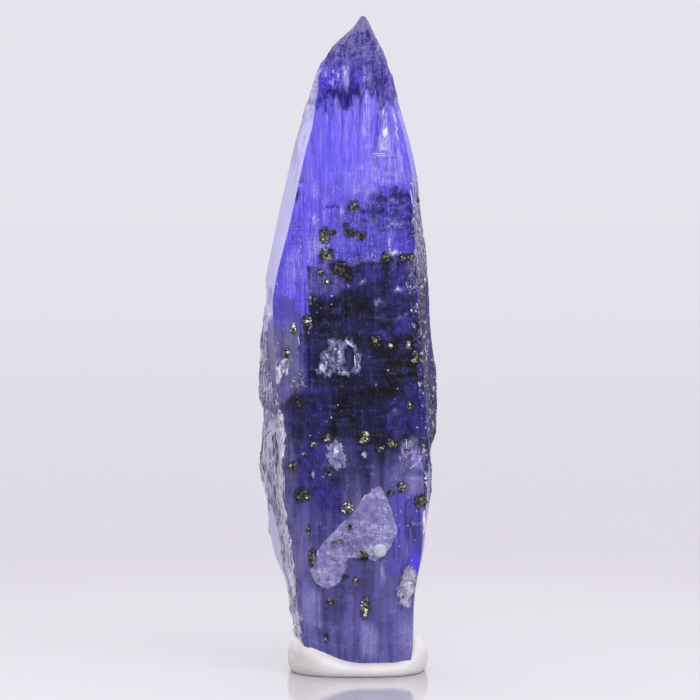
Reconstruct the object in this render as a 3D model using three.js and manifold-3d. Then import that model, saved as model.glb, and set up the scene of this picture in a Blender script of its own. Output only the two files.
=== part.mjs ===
// A natural tanzanite crystal standing in a pressed pad of white mounting putty.
// Millimetres, +Z up, origin on the pad's flat underside, below the middle of the crystal.
// The crystal is a flattened, eight-sided prism that narrows to a beaked tip. Its broad faces
// look along -Y and +Y, and its foot is a slanting fracture that the putty carries.
import * as THREE from "three";
import { ImprovedNoise } from "three/addons/math/ImprovedNoise.js";
import { mergeVertices } from "three/addons/utils/BufferGeometryUtils.js";
import Module from "manifold-3d";

const wasm = await Module();
wasm.setup();

// ---------------------------------------------------------------- driving dimensions

const TIP_Z = 41.1;
const FOOT_FLAT_Z = 0.65; // the level part of the broken foot, above the surface the pad lies on
const CLEARANCE = 0.3; // between the crystal and the putty around it

// Outlines of the crystal seen from the front, as [z, x] from the foot upwards.
const LEFT_SIDE = [
  [0.6, -3.4], [2.2, -3.5], [4.5, -3.75], [5.9, -4.05], [7.4, -4.7], [9, -5], [10.9, -5.15],
  [13.2, -5.55], [14.6, -5.4], [16.1, -5.25], [17.4, -5.55], [19.5, -5.55], [22.4, -5.35],
  [23.5, -5.15], [24.6, -5.25], [26.1, -4.95], [29.6, -4.2], [33.1, -3.4], [36, -2.5],
  [37.4, -2.05], [37.9, -1.95], [38.5, -1.5], [39.5, -0.75], [40.2, 0.1], [40.7, 0.5], [TIP_Z, 0.75],
];
const RIGHT_SIDE = [
  [0.6, 3.85], [1.5, 4.05], [4.4, 4.1], [5.6, 4.25], [7.4, 4.7], [9.1, 4.85], [11.5, 5.2],
  [14.4, 5.25], [15, 5.5], [17.6, 5.55], [19, 5.45], [20.6, 5.2], [23.4, 5], [26.2, 4.85],
  [28.7, 4.5], [30.9, 4.3], [32.9, 3.9], [36, 3], [38.6, 2.3], [39.7, 1.7], [40.4, 1.4], [TIP_Z, 1],
];
// The edges that bound the broad front face, also as [z, x].
const FRONT_LEFT_EDGE = [
  [0.6, -2.8], [3, -3.05], [6.2, -3.4], [9.8, -3.9], [14, -4.25], [19.6, -4.55], [23.4, -4.75],
  [25.1, -4.45], [28.4, -3.6], [32.6, -2.7], [34, -2.3], [37.6, -1.75], [40.2, 0.3], [TIP_Z, 0.8],
];
const FRONT_RIGHT_EDGE = [
  [0.6, 3.7], [5.2, 4], [9.6, 4.6], [13.5, 4.85], [18.3, 4.7], [21.2, 4.5], [24, 4.25],
  [27.6, 4.1], [30.5, 3.85], [32.8, 3.5], [34.9, 3], [38.5, 2.05], [40.4, 1.25], [TIP_Z, 0.95],
];
// How far the broad faces stand in front of and behind the middle plane, as [z, distance].
const FRONT_DEPTH = [
  [0.6, 2.75], [6, 3.1], [12, 3.4], [18, 3.45], [25, 3.2], [30, 2.85], [36, 2.05], [40.2, 0.55],
  [TIP_Z, 0.16],
];
const BACK_DEPTH = [
  [0.6, 2.5], [5, 2.9], [11, 3.35], [17, 3.3], [22, 3.4], [28, 2.9], [33.5, 2.3], [37.5, 1.35],
  [40.2, 0.5], [TIP_Z, 0.16],
];
const OUTLINE_SOFTENING = 0.35; // half the height over which an outline's corners are rounded

const RIDGE_X = { front: 1.1, back: -0.9 }; // the blunt ridge down the middle of each broad face
const EDGE_SHARE = { front: 0.88, back: 0.84 }; // a broad face's edges, as a share of its depth
const SIDE_EDGE_Y = { left: -0.25, right: 0.5 }; // where the outermost edges lie
const BACK_EDGE_SHARE = { left: 0.8, right: 0.74 }; // the back edges, as a share of the outline

// Growth striations: long ridges and grooves that run up the broad faces. The levels are those of
// neighbouring mesh columns, from groove (0) to ridge (1).
const STRIATION_DEPTH = 0.22;
const STRIATION_LEVELS = [0.5, 0.9, 1, 0.1, 0, 0.7, 0.6, 0, 0.2, 1, 0.9, 0.3, 0.1, 0.8, 0.6];
const STRIATION_SWELL = { mean: 0.7, swing: 0.9 }; // how the ridges swell and fade as they run up
const STRIATION_RUN = 7; // the height over which a ridge swells and fades
const STRIATED = [4, 35.5]; // z from and to
const STRIATION_FADE = 2.2; // the height over which they die out above and below
// Rough, splintered bands on the two narrow sides.
const SPLINTER_DEPTH = 0.42;
const SPLINTER_SIZE = [1.3, 2.3]; // across and along the crystal
const SPLINTER_SHARE = { atEdges: 0.4, atMiddle: 1.4 }; // of that depth, across a side
const LEFT_BAND = [2.5, 23.5]; // z from and to
const RIGHT_BAND = [13.5, 31];
const BAND_FADE = 2;
// The etched faces of the tip.
const ETCHED_FROM_Z = 35.4;
const ETCH_DEPTH = 0.24;
const ETCH_SIZE = [1, 1.3]; // of the lumps, across and along the crystal
const ETCH_FADE = 1.5; // the height over which the etching sets in
const RELIEF_TAPER = 4; // below the tip, the height over which rough relief dies out

// Raised growth plates on the broad faces: x and z from and to, and how far they stand out.
const PLATES = [
  { x: [-2.55, 5.2], z: [14.6, 25.7], rise: 0.22 },
  { x: [-1.85, 5], z: [0, 9.4], rise: 0.18 },
  { x: [-5.2, 1.3], z: [7.2, 19.8], rise: 0.25, back: true },
  { x: [-0.6, 5], z: [16.2, 29.4], rise: 0.2, back: true },
];
const PLATE_EDGE = 0.25; // the width of a plate's sloping edge

// The foot is level on the right and breaks upwards to the left.
const FOOT_BREAK_X = -0.3;
const FOOT_BREAK_SLOPE = 0.5;
const FOOT_BLEND_Z = 4.5; // above this the rows of the mesh are level

// Conchoidal chips: spheres that scoop the corners, by centre and radius.
const CHIPS = [
  { at: [4.1, -2.5, 34.4], radius: 1.5 },
  { at: [-6, -1.9, 23.4], radius: 1.4 },
  { at: [-5.85, -1.95, 16], radius: 1.45 },
  { at: [-3.85, -3.3, 3.5], radius: 1.35 },
  { at: [6.25, 0.2, 13.6], radius: 1.3 },
  { at: [-1.75, -0.9, 38.6], radius: 0.85 },
  { at: [3.9, 3.6, 27.5], radius: 1.7 },
  { at: [-4.6, 3.9, 12.4], radius: 1.9 },
];

// Pyrite grains grown into the faces, by x, z and size across. Those with back stand behind.
const PYRITES = [
  { x: 0.3, z: 29.05, size: 0.62 },
  { x: -1.35, z: 27.15, size: 0.85 },
  { x: 0.55, z: 27.45, size: 0.8 },
  { x: -1.35, z: 26.05, size: 0.85 },
  { x: -0.5, z: 25.2, size: 1 },
  { x: 3.15, z: 25.9, size: 0.6 },
  { x: -2.6, z: 22, size: 0.75 },
  { x: -3.05, z: 17.1, size: 0.8 },
  { x: 0.9, z: 14.8, size: 0.8 },
  { x: -3.55, z: 13, size: 0.6 },
  { x: -0.15, z: 10.4, size: 0.8 },
  { x: 3.3, z: 11.7, size: 0.75 },
  { x: -2.3, z: 7.25, size: 0.75 },
  { x: 1, z: 4.35, size: 0.85 },
  { x: 1.6, z: 24.2, size: 0.8, back: true },
  { x: -1.9, z: 18.4, size: 0.9, back: true },
  { x: 0.6, z: 11.2, size: 0.85, back: true },
  { x: -1.2, z: 30.6, size: 0.6, back: true },
];
const PYRITE_BURIED = 0.35; // share of a grain's radius that its middle lies under the face

// Crusts of small blocky crystals on the faces, by x, z, width, height and thickness.
const CRUSTS = [
  { x: -0.55, z: 19.75, width: 2.6, height: 2.5, rise: 0.58 },
  { x: -0.7, z: 13.9, width: 1.1, height: 1.5, rise: 0.34 },
  { x: 3.45, z: 5.4, width: 1.2, height: 2.3, rise: 0.3 },
  { x: 3.8, z: 13.9, width: 1.6, height: 1.7, rise: 0.25 },
  { x: 1.95, z: 7.95, width: 0.85, height: 0.85, rise: 0.25 },
  { x: 1.8, z: 16.2, width: 2.2, height: 1.8, rise: 0.35, back: true },
];
const CRUST_BLOCKS = 5; // crystals in one crust
const BLOCK_SHARE = 0.44; // a block's side, as a share of the crust's mean width
const BLOCK_REACH = 0.75; // from a turned block's middle to its outermost corner, as a share of its side
const BLOCK_SPREAD = 0.36; // how far from the middle the blocks reach, as a share of the crust's size

// The growth hillock: a low, tall pyramid on the front face.
const HILLOCK = { x: 2.15, z: 33.4, width: 1.7, height: 3.4, rise: 0.5 };

// The putty pad: a rounded disc whose rim is pressed up beside and behind the crystal.
const PAD = { middle: [0.55, 0.15], half: [4.37, 3.85], front: 0.78, side: 2.05, floorRadius: 0.93 };
const RIM_DIPS_TOWARDS_FRONT = [0.35, 0.95]; // share of facing -Y where the rim starts and stops falling
const PAD_SECTORS = 48;
const PAD_RINGS = 9;

const ROW_HEIGHT = 1.3; // between rows of the crystal's mesh, with more at the plates' edges
const TIP_ROW_HEIGHT = 0.55;
const COLUMNS = [15, 9, 4, 4, 8, 12, 4, 4]; // of the mesh across each of the eight faces

const NOISE_SEEDS = { etching: 7.3, right: 11.4, left: 16.9 };
const GOLDEN_ANGLE = Math.PI * (3 - Math.sqrt(5)); // spreads points evenly round a spiral

const COLOURS = { tanzanite: 0x5b4fc8, putty: 0xe9e5e6 };

// ---------------------------------------------------------------- small helpers

const clamp01 = (value) => Math.min(1, Math.max(0, value));
const smooth = (from, to, value) => THREE.MathUtils.smoothstep(value, from, to);

/** 1 inside a range, falling to 0 over a soft edge on both sides. */
const within = ([from, to], value, edge) =>
  smooth(from - edge, from, value) * (1 - smooth(to, to + edge, value));

/** Straight-line reading of an outline of [z, value] pairs. */
function readOutline(outline, z) {
  const next = outline.findIndex(([height]) => height >= z);
  if (next === 0) return outline[0][1];
  if (next < 0) return outline.at(-1)[1];
  const [lowZ, low] = outline[next - 1];
  const [highZ, high] = outline[next];
  return low + ((high - low) * (z - lowZ)) / (highZ - lowZ);
}

/** An outline with its corners softened, as the mean of three readings. */
function along(outline, z) {
  const reach = OUTLINE_SOFTENING * clamp01((TIP_Z - z) / 2);
  return [-reach, 0, reach].reduce((sum, step) => sum + readOutline(outline, z + step), 0) / 3;
}

const perlin = new ImprovedNoise();
/** Noise from -1 to 1 whose grain has the given size across and along. */
const grain = (across, up, [width, height], seed) => perlin.noise(across / width, up / height, seed);

/** A closed three.js geometry as a solid that can be cut and joined. */
function solidOf(geometry, matrix = new THREE.Matrix4()) {
  const bare = geometry.clone().applyMatrix4(matrix);
  bare.deleteAttribute("normal");
  bare.deleteAttribute("uv");
  const merged = mergeVertices(bare, 1e-4);
  const vertProperties = new Float32Array(merged.attributes.position.array);
  return new wasm.Manifold(
    new wasm.Mesh({ numProp: 3, vertProperties, triVerts: new Uint32Array(merged.index.array) }),
  );
}

/** A solid back as a three.js geometry, flat shaded. */
function geometryOf(solid) {
  const { vertProperties, triVerts } = solid.getMesh();
  const indexed = new THREE.BufferGeometry()
    .setAttribute("position", new THREE.BufferAttribute(vertProperties, 3))
    .setIndex(new THREE.BufferAttribute(triVerts, 1));
  const flat = indexed.toNonIndexed();
  flat.computeVertexNormals();
  return flat;
}

/** The matrix that turns, stretches and then moves a shape. */
function placed(position, turns, stretch = [1, 1, 1]) {
  const turn = new THREE.Quaternion().setFromEuler(new THREE.Euler(...turns));
  return new THREE.Matrix4().compose(
    new THREE.Vector3(...position), turn, new THREE.Vector3(...stretch),
  );
}

// ---------------------------------------------------------------- the crystal's own surface

/** The eight corners of the cross-section at a height, anticlockwise from above. */
function sectionCorners(z) {
  const front = along(FRONT_DEPTH, z);
  const back = along(BACK_DEPTH, z);
  const left = along(LEFT_SIDE, z);
  const right = along(RIGHT_SIDE, z);
  const middle = (left + right) / 2;
  const slim = clamp01(front / 2); // brings the ridges and edges together towards the tip
  const backEdge = (side, share) => middle + (side - middle) * share;
  return [
    [along(FRONT_LEFT_EDGE, z), -front * EDGE_SHARE.front],
    [middle + (RIDGE_X.front - middle) * slim, -front],
    [along(FRONT_RIGHT_EDGE, z), -front * EDGE_SHARE.front],
    [right, SIDE_EDGE_Y.right * slim],
    [backEdge(right, BACK_EDGE_SHARE.right), back * EDGE_SHARE.back],
    [middle + (RIDGE_X.back - middle) * slim, back],
    [backEdge(left, BACK_EDGE_SHARE.left), back * EDGE_SHARE.back],
    [left, SIDE_EDGE_Y.left * slim],
  ];
}

const FRONT_SIDES = [0, 1];
const RIGHT_SIDES = [2, 3];
const BACK_SIDES = [4, 5];

/** How far the growth plates lift the front or back face at a place. */
const plateRise = (x, z, onBack) =>
  PLATES.filter(({ back = false }) => back === onBack).reduce(
    (sum, plate) => sum + plate.rise * within(plate.x, x, PLATE_EDGE) * within(plate.z, z, PLATE_EDGE),
    0,
  );

/** A striation's ridge or groove at one mesh column of a broad face, flat at the face's edges. */
function striation(side, step, z) {
  const swing = STRIATION_SWELL.swing * grain(step * 0.37, z, [1, STRIATION_RUN], side + 0.5);
  const swell = STRIATION_SWELL.mean + swing;
  const depth = STRIATION_DEPTH * clamp01(swell) * within(STRIATED, z, STRIATION_FADE);
  return depth * (STRIATION_LEVELS[step] - 0.5);
}

/** How far the surface stands out of the plain section, part of the way (share) along a side. */
function relief(side, step, share, [x, y, z]) {
  const taper = clamp01((TIP_Z - z) / RELIEF_TAPER);
  const etched = taper * ETCH_DEPTH * smooth(ETCHED_FROM_Z, ETCHED_FROM_Z + ETCH_FADE, z)
    * grain(x + y, z, ETCH_SIZE, NOISE_SEEDS.etching);
  if (FRONT_SIDES.includes(side) || BACK_SIDES.includes(side))
    return striation(side, step, z) + etched + plateRise(x, z, BACK_SIDES.includes(side));
  const onRight = RIGHT_SIDES.includes(side);
  const band = within(onRight ? RIGHT_BAND : LEFT_BAND, z, BAND_FADE);
  const { atEdges, atMiddle } = SPLINTER_SHARE;
  const splinter = atEdges + (atMiddle - atEdges) * Math.sin(Math.PI * share);
  return taper * band * SPLINTER_DEPTH * splinter
    * grain(y, z, SPLINTER_SIZE, onRight ? NOISE_SEEDS.right : NOISE_SEEDS.left) + etched;
}

/** The height of the broken foot below a point with the given x. */
const footHeight = (x) => FOOT_FLAT_Z + Math.max(0, FOOT_BREAK_X - x) * FOOT_BREAK_SLOPE;

/** One row of the crystal's mesh, grown outwards by a margin. */
function sectionRow(z, margin) {
  const corners = sectionCorners(z);
  return COLUMNS.flatMap((count, side) => {
    const [x0, y0] = corners[side];
    const [x1, y1] = corners[(side + 1) % corners.length];
    const length = Math.hypot(x1 - x0, y1 - y0);
    const [normalX, normalY] = [(y1 - y0) / length, (x0 - x1) / length];
    return Array.from({ length: count }, (_, step) => {
      const share = step / count;
      const x = x0 + (x1 - x0) * share;
      const y = y0 + (y1 - y0) * share;
      const out = relief(side, step, share, [x, y, z]) + margin;
      const [outX, outY] = [x + normalX * out, y + normalY * out];
      const lift = (footHeight(outX) - FOOT_FLAT_Z) * clamp01((FOOT_BLEND_Z - z) / FOOT_BLEND_Z);
      return new THREE.Vector3(outX, outY, z + lift - margin * clamp01(1 - (z - FOOT_FLAT_Z)));
    });
  });
}

/** The heights of the mesh's rows: even steps, and both lines of every plate's sloping edge. */
function rowHeights() {
  const edges = PLATES.flatMap(({ z: [from, to] }) => [from - PLATE_EDGE, from, to, to + PLATE_EDGE]);
  const fixed = edges.filter((z) => z > FOOT_FLAT_Z + PLATE_EDGE);
  const even = [];
  let z = FOOT_FLAT_Z;
  while (z < TIP_Z - TIP_ROW_HEIGHT / 2) {
    const height = z;
    if (fixed.every((edge) => Math.abs(edge - height) > PLATE_EDGE)) even.push(height);
    z += height < ETCHED_FROM_Z ? ROW_HEIGHT : TIP_ROW_HEIGHT;
  }
  return [...even, ...fixed].sort((a, b) => a - b);
}

/** The crystal's closed skin: rows of points up its height, with a point at each end. */
function crystalSkin(margin = 0) {
  const rows = rowHeights().map((z) => sectionRow(z, margin));
  const rowCount = rows.length;
  const width = rows[0].length;
  const points = rows.flat();
  const middleOf = (row) => row.reduce((sum, p) => sum.add(p), new THREE.Vector3()).divideScalar(width);
  const bottom = points.push(middleOf(rows[0])) - 1;
  const tip = points.push(middleOf(rows.at(-1)).setZ(TIP_Z + margin)) - 1;

  const triangles = [];
  const at = (row, column) => row * width + (column % width);
  for (let column = 0; column < width; column += 1) {
    triangles.push(bottom, at(0, column + 1), at(0, column));
    triangles.push(tip, at(rowCount - 1, column), at(rowCount - 1, column + 1));
    for (let row = 0; row + 1 < rowCount; row += 1) {
      triangles.push(at(row, column), at(row, column + 1), at(row + 1, column + 1));
      triangles.push(at(row, column), at(row + 1, column + 1), at(row + 1, column));
    }
  }
  return new THREE.BufferGeometry().setFromPoints(points).setIndex(triangles);
}

/** The depth (y) of the front or back face over a place seen from the front. */
function faceDepth(x, z, onBack) {
  const corners = sectionCorners(z);
  const face = (onBack ? [6, 5, 4] : [0, 1, 2]).map((corner) => corners[corner]);
  const [start, middle, end] = face;
  const [from, to] = x < middle[0] ? [start, middle] : [middle, end];
  const y = from[1] + ((to[1] - from[1]) * (x - from[0])) / (to[0] - from[0]);
  return y + plateRise(x, z, onBack) * (onBack ? 1 : -1);
}

// ---------------------------------------------------------------- what has grown on the crystal

/** One pyrite grain: a pyritohedron turned its own way and half sunk in the face. */
function pyriteGrain({ x, z, size, back = false }, index) {
  const outwards = back ? 1 : -1;
  const radius = size / 2;
  const y = faceDepth(x, z, back) - outwards * radius * PYRITE_BURIED;
  const turns = [index * 0.7, index * 1.3, index * 0.4];
  return solidOf(new THREE.DodecahedronGeometry(radius), placed([x, y, z], turns));
}

/** One crust: blocky crystals, each turned its own way, crowded over an oval patch of the face. */
function crust({ x, z, width, height, rise, back = false }, index) {
  const outwards = back ? 1 : -1;
  const side = BLOCK_SHARE * Math.sqrt(width * height);
  const blocks = Array.from({ length: CRUST_BLOCKS }, (_, i) => {
    const share = BLOCK_SPREAD * Math.sqrt(i / (CRUST_BLOCKS - 1));
    const angle = i * GOLDEN_ANGLE + index;
    const blockX = x + width * share * Math.cos(angle);
    const blockZ = z + height * share * Math.sin(angle);
    const y = faceDepth(blockX, blockZ, back) + outwards * (rise - side * BLOCK_REACH);
    const turns = [0.5 + i * 0.9, index + i * 0.5, i * 1.3];
    return solidOf(new THREE.BoxGeometry(side, side, side), placed([blockX, y, blockZ], turns));
  });
  return blocks.reduce((sum, block) => sum.add(block));
}

/** The growth hillock: a flattened four-sided pyramid that lies on the front face, point upwards. */
function hillock({ x, z, width, height, rise }) {
  const shape = new THREE.ConeGeometry(1, 2, 4, 1);
  const stretch = [width / 2, rise, height / 2];
  const upright = placed([x, faceDepth(x, z, false), z], [0, 0, 0], stretch);
  return solidOf(shape, upright.multiply(placed([0, 0, 0], [Math.PI / 2, 0, 0])));
}

/** One conchoidal chip, as the sphere that scoops it. */
const chip = ({ at, radius }) =>
  solidOf(new THREE.SphereGeometry(radius, 16, 10), placed(at, [0.4, 0.2, 0]));

function tanzaniteCrystal() {
  const chipped = CHIPS.map(chip).reduce((stone, scoop) => stone.subtract(scoop), solidOf(crystalSkin()));
  const growths = [...PYRITES.map(pyriteGrain), ...CRUSTS.map(crust), hillock(HILLOCK)];
  return growths.reduce((stone, growth) => stone.add(growth), chipped);
}

// ---------------------------------------------------------------- the putty pad

/** How high the pad's rim stands in a direction: low in front, high at the sides and behind. */
function rimHeight(angle) {
  const facingFront = smooth(...RIM_DIPS_TOWARDS_FRONT, -Math.sin(angle));
  const wobble = 0.14 * Math.sin(3 * angle + 0.8) + 0.08 * Math.sin(5 * angle);
  return PAD.side + wobble - (PAD.side - PAD.front + wobble) * facingFront;
}

/** A point of the pad's domed top, by its share of the way out and its direction. */
function padTop(share, angle) {
  const outline = 1 + 0.018 * Math.sin(2 * angle + 1) + 0.012 * Math.sin(5 * angle);
  const x = PAD.middle[0] + PAD.half[0] * outline * share * Math.cos(angle);
  const y = PAD.middle[1] + PAD.half[1] * outline * share * Math.sin(angle);
  const dome = Math.sqrt(Math.max(0, 1 - share ** 5));
  const belly = 0.3 * rimHeight(angle); // the side's widest place, above the flat underside
  return new THREE.Vector3(x, y, belly + (rimHeight(angle) - belly) * dome);
}

/** The pad before the crystal is pressed in: a domed top over a flat underside. */
function padBlank() {
  const points = [];
  const triangles = [];
  const ring = (row, column) => 1 + row * PAD_SECTORS + (column % PAD_SECTORS);
  points.push(new THREE.Vector3(...PAD.middle, PAD.side));
  const angleOf = (column) => (2 * Math.PI * column) / PAD_SECTORS;
  for (let row = 1; row <= PAD_RINGS; row += 1)
    for (let column = 0; column < PAD_SECTORS; column += 1)
      points.push(padTop(Math.sin((Math.PI / 2) * (row / PAD_RINGS)), angleOf(column)));
  for (let column = 0; column < PAD_SECTORS; column += 1) {
    const foot = padTop(PAD.floorRadius, angleOf(column));
    points.push(foot.setZ(0));
  }
  const underside = points.push(new THREE.Vector3(...PAD.middle, 0)) - 1;
  for (let column = 0; column < PAD_SECTORS; column += 1) {
    triangles.push(0, ring(0, column), ring(0, column + 1));
    for (let row = 0; row < PAD_RINGS; row += 1) {
      triangles.push(ring(row, column), ring(row + 1, column), ring(row + 1, column + 1));
      triangles.push(ring(row, column), ring(row + 1, column + 1), ring(row, column + 1));
    }
    triangles.push(underside, ring(PAD_RINGS, column + 1), ring(PAD_RINGS, column));
  }
  return new THREE.BufferGeometry().setFromPoints(points).setIndex(triangles);
}

/** The pad with the crystal's foot pressed into it, clear of the crystal all round. */
function puttyPad() {
  return solidOf(padBlank()).subtract(solidOf(crystalSkin(CLEARANCE)));
}

// ---------------------------------------------------------------- the scene graph

/** A named mesh of one solid in one material. */
function part(name, solid, material) {
  const mesh = new THREE.Mesh(geometryOf(solid), new THREE.MeshStandardMaterial(material));
  mesh.name = name;
  return mesh;
}

const specimen = new THREE.Group();
specimen.add(
  part("tanzanite_crystal", tanzaniteCrystal(), {
    color: COLOURS.tanzanite, roughness: 0.25, metalness: 0, flatShading: true,
  }),
  part("putty_pad", puttyPad(), { color: COLOURS.putty, roughness: 0.6, metalness: 0 }),
);

export default specimen;
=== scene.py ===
"""A rough tanzanite crystal standing in a pressed pad of mounting putty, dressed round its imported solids.

Shapes are worked out in millimetres with numpy, in the solids' own frame (+Z up, the broad front face
towards -Y), and put into meshes in metres. The crystal's own surface is a grid: columns run round the
eight-sided section and rows run up its height.
"""

from __future__ import annotations

import logging
import math
from dataclasses import dataclass, field
from enum import Enum

import bpy
import numpy as np
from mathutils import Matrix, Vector


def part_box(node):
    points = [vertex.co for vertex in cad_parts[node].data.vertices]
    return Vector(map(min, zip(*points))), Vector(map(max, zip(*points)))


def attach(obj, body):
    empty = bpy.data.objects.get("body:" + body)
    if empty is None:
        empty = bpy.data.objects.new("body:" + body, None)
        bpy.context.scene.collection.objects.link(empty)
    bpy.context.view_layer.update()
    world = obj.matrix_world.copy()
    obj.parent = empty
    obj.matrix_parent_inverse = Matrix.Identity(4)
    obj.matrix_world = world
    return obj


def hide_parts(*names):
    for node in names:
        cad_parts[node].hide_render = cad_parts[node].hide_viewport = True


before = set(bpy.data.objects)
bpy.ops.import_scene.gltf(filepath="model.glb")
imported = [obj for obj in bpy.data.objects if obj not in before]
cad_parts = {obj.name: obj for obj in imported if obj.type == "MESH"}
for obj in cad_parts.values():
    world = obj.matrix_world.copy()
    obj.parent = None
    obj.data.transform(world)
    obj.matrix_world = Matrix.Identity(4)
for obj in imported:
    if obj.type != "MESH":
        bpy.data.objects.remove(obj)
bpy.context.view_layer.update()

LOG = logging.getLogger("tanzanite")
Array = np.ndarray
Shape = tuple[Array, Array, Array]  # points, quads and triangles
Draw = np.random.Generator
Mesh, Object, Material, Socket = (
    bpy.types.Mesh, bpy.types.Object, bpy.types.Material, bpy.types.NodeSocket)
Pair = tuple[float, float]
Triple = tuple[float, float, float]
Colour = tuple[float, float, float, float]
MM = 0.001  # one millimetre, in metres
BODY = "root"
CRYSTAL_NODE = "tanzanite_crystal"
PUTTY_NODE = "putty_pad"
BOXY, ROUNDED = 0.3, 0.9  # the squareness of small crystals, and of blades and discs
TIP_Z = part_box(CRYSTAL_NODE)[1].z / MM  # the crystal's highest point, in millimetres


def srgb(red: int, green: int, blue: int) -> Colour:
    """A display colour of 0 to 255 levels as the linear colour that shaders take.

    Args:
        red, green, blue: the display levels.

    Returns:
        The linear colour, with an alpha of 1.
    """
    levels = np.array((red, green, blue)) / 255
    linear = np.where(levels <= 0.04045, levels / 12.92, ((levels + 0.055) / 1.055) ** 2.4)
    return (*map(float, linear), 1.0)


# ---------------------------------------------------------------- noise and small formulas


def lattice_value(ix: Array, iy: Array, iz: Array, seed: int) -> Array:
    """Repeatable random values from 0 to 1 for whole-number lattice points.

    The three numbers and the seed are multiplied by large odd numbers, summed, and their bits are
    shifted and multiplied once more.

    Args:
        ix, iy, iz: whole numbers, as arrays of one shape.
        seed: chooses the table.

    Returns:
        An array of that shape.
    """
    mask = np.int64(0xFFFFFFFF)
    mixed = (ix * 374761393 + iy * 668265263 + iz * 2147483629 + seed * 1274126177) & mask
    mixed = ((mixed ^ (mixed >> 13)) * 1274126177) & mask
    return ((mixed ^ (mixed >> 16)) & mask) / float(mask)


def noise(x: Array, y: Array, z: Array, seed: int) -> Array:
    """Smooth value noise from -1 to 1 with a grain of one unit.

    Each lattice cell blends the random values of its eight corners by the smooth step of the place
    within the cell.

    Args:
        x, y, z: where to read it, as arrays that broadcast together.
        seed: chooses the pattern.

    Returns:
        An array of the broadcast shape.
    """
    x, y, z = np.broadcast_arrays(x, y, z)
    low = [np.floor(axis).astype(np.int64) for axis in (x, y, z)]
    part = [axis - cell for axis, cell in zip((x, y, z), low)]
    fx, fy, fz = [share * share * (3 - 2 * share) for share in part]
    total = np.zeros(x.shape)
    for corner in range(8):
        dx, dy, dz = corner & 1, corner >> 1 & 1, corner >> 2 & 1
        weight = (fx if dx else 1 - fx) * (fy if dy else 1 - fy) * (fz if dz else 1 - fz)
        total += weight * lattice_value(low[0] + dx, low[1] + dy, low[2] + dz, seed)
    return total * 2 - 1


def layered_noise(x: Array, y: Array, z: Array, seed: int, layers: int = 3) -> Array:
    """A sum of noise layers, each with half the grain and half the height of the one before.

    Args:
        x, y, z: where to read it.
        seed: chooses the pattern.
        layers: how many layers.

    Returns:
        The sum, from -1 to 1.
    """
    heights = [0.5**layer for layer in range(layers)]
    parts = [h * noise(x / h, y / h, z / h, seed + layer) for layer, h in enumerate(heights)]
    return sum(parts) / sum(heights)


def smooth_step(low: float | Array, high: float | Array, value: Array) -> Array:
    """0 below low, 1 above high, and a smooth rise between them."""
    share = np.clip((value - low) / (high - low), 0, 1)
    return share * share * (3 - 2 * share)


def within(low: float, high: float, value: Array, edge: float) -> Array:
    """1 inside a range, falling smoothly to 0 over an edge on both sides."""
    return smooth_step(low - edge, low, value) * (1 - smooth_step(high, high + edge, value))


# ---------------------------------------------------------------- sides, marks and growths


class Side(Enum):
    """The eight sides of the crystal's section, numbered anticlockwise from above."""

    FRONT_LEFT = 0
    FRONT_RIGHT = 1
    RIGHT_FRONT = 2
    RIGHT_BACK = 3
    BACK_RIGHT = 4
    BACK_LEFT = 5
    LEFT_BACK = 6
    LEFT_FRONT = 7


class Facing(Enum):
    """Which way a part of the crystal looks, as the sides that make it."""

    FRONT = (Side.FRONT_LEFT, Side.FRONT_RIGHT)
    RIGHT = (Side.RIGHT_FRONT, Side.RIGHT_BACK)
    BACK = (Side.BACK_RIGHT, Side.BACK_LEFT)
    LEFT = (Side.LEFT_BACK, Side.LEFT_FRONT)


def on_faces(sides: Array, *facings: Facing) -> Array:
    """Where the sides' numbers belong to the given faces."""
    return np.isin(sides, [side.value for facing in facings for side in facing.value])


@dataclass(frozen=True)
class Places:
    """The places of the crystal's grid on its plain sides, as arrays of one shape."""

    side: Array
    share: Array  # how far across its side each place is, from 0 to 1
    x: Array
    y: Array
    z: Array

    def on(self, *facings: Facing) -> Array:
        """Where the places lie on the given faces."""
        return on_faces(self.side, *facings)

    def noise(self, by_x: float, by_y: float, by_z: float, seed: int) -> Array:
        """Noise from -1 to 1 with so many grains to the millimetre along each axis."""
        return noise(self.x * by_x, self.y * by_y, self.z * by_z, seed)

    def layers(self, by_x: float, by_y: float, by_z: float, seed: int, count: int = 3) -> Array:
        """The same, as a sum of finer and finer layers."""
        return layered_noise(self.x * by_x, self.y * by_y, self.z * by_z, seed, count)

    def ridges(self) -> Array:
        """The splintered side's ridges, about 0: the folds of a slow wavy noise, crossed by a finer one.

        Returns:
            The height at each place, from -1 to 1.
        """
        flat = 0 * self.y
        wave = self.y * 1.5 + 0.8 * noise(self.y * 0.3, flat, self.z * 0.3, 31)
        coarse = 1 - 2 * np.abs(noise(wave, flat, self.z * 0.2, 32))
        fine = 1 - 2 * np.abs(noise(wave * 2.7 + 4, flat, self.z * 0.5, 34))
        return 0.6 * coarse + 0.4 * fine


class Zone(Enum):
    """What a mark on a broad face shows."""

    INDIGO = "deep blue"
    # Pale lavender; its strongest marks turn white as painted highlights.
    PALE = "pale lavender"
    VIOLET = "a lighter window in the dark part"
    FROST = "frosted lavender growth"
    WHITE = "white granular crust"
    WINDOW = "a dark clear crystal in the crust"


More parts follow.
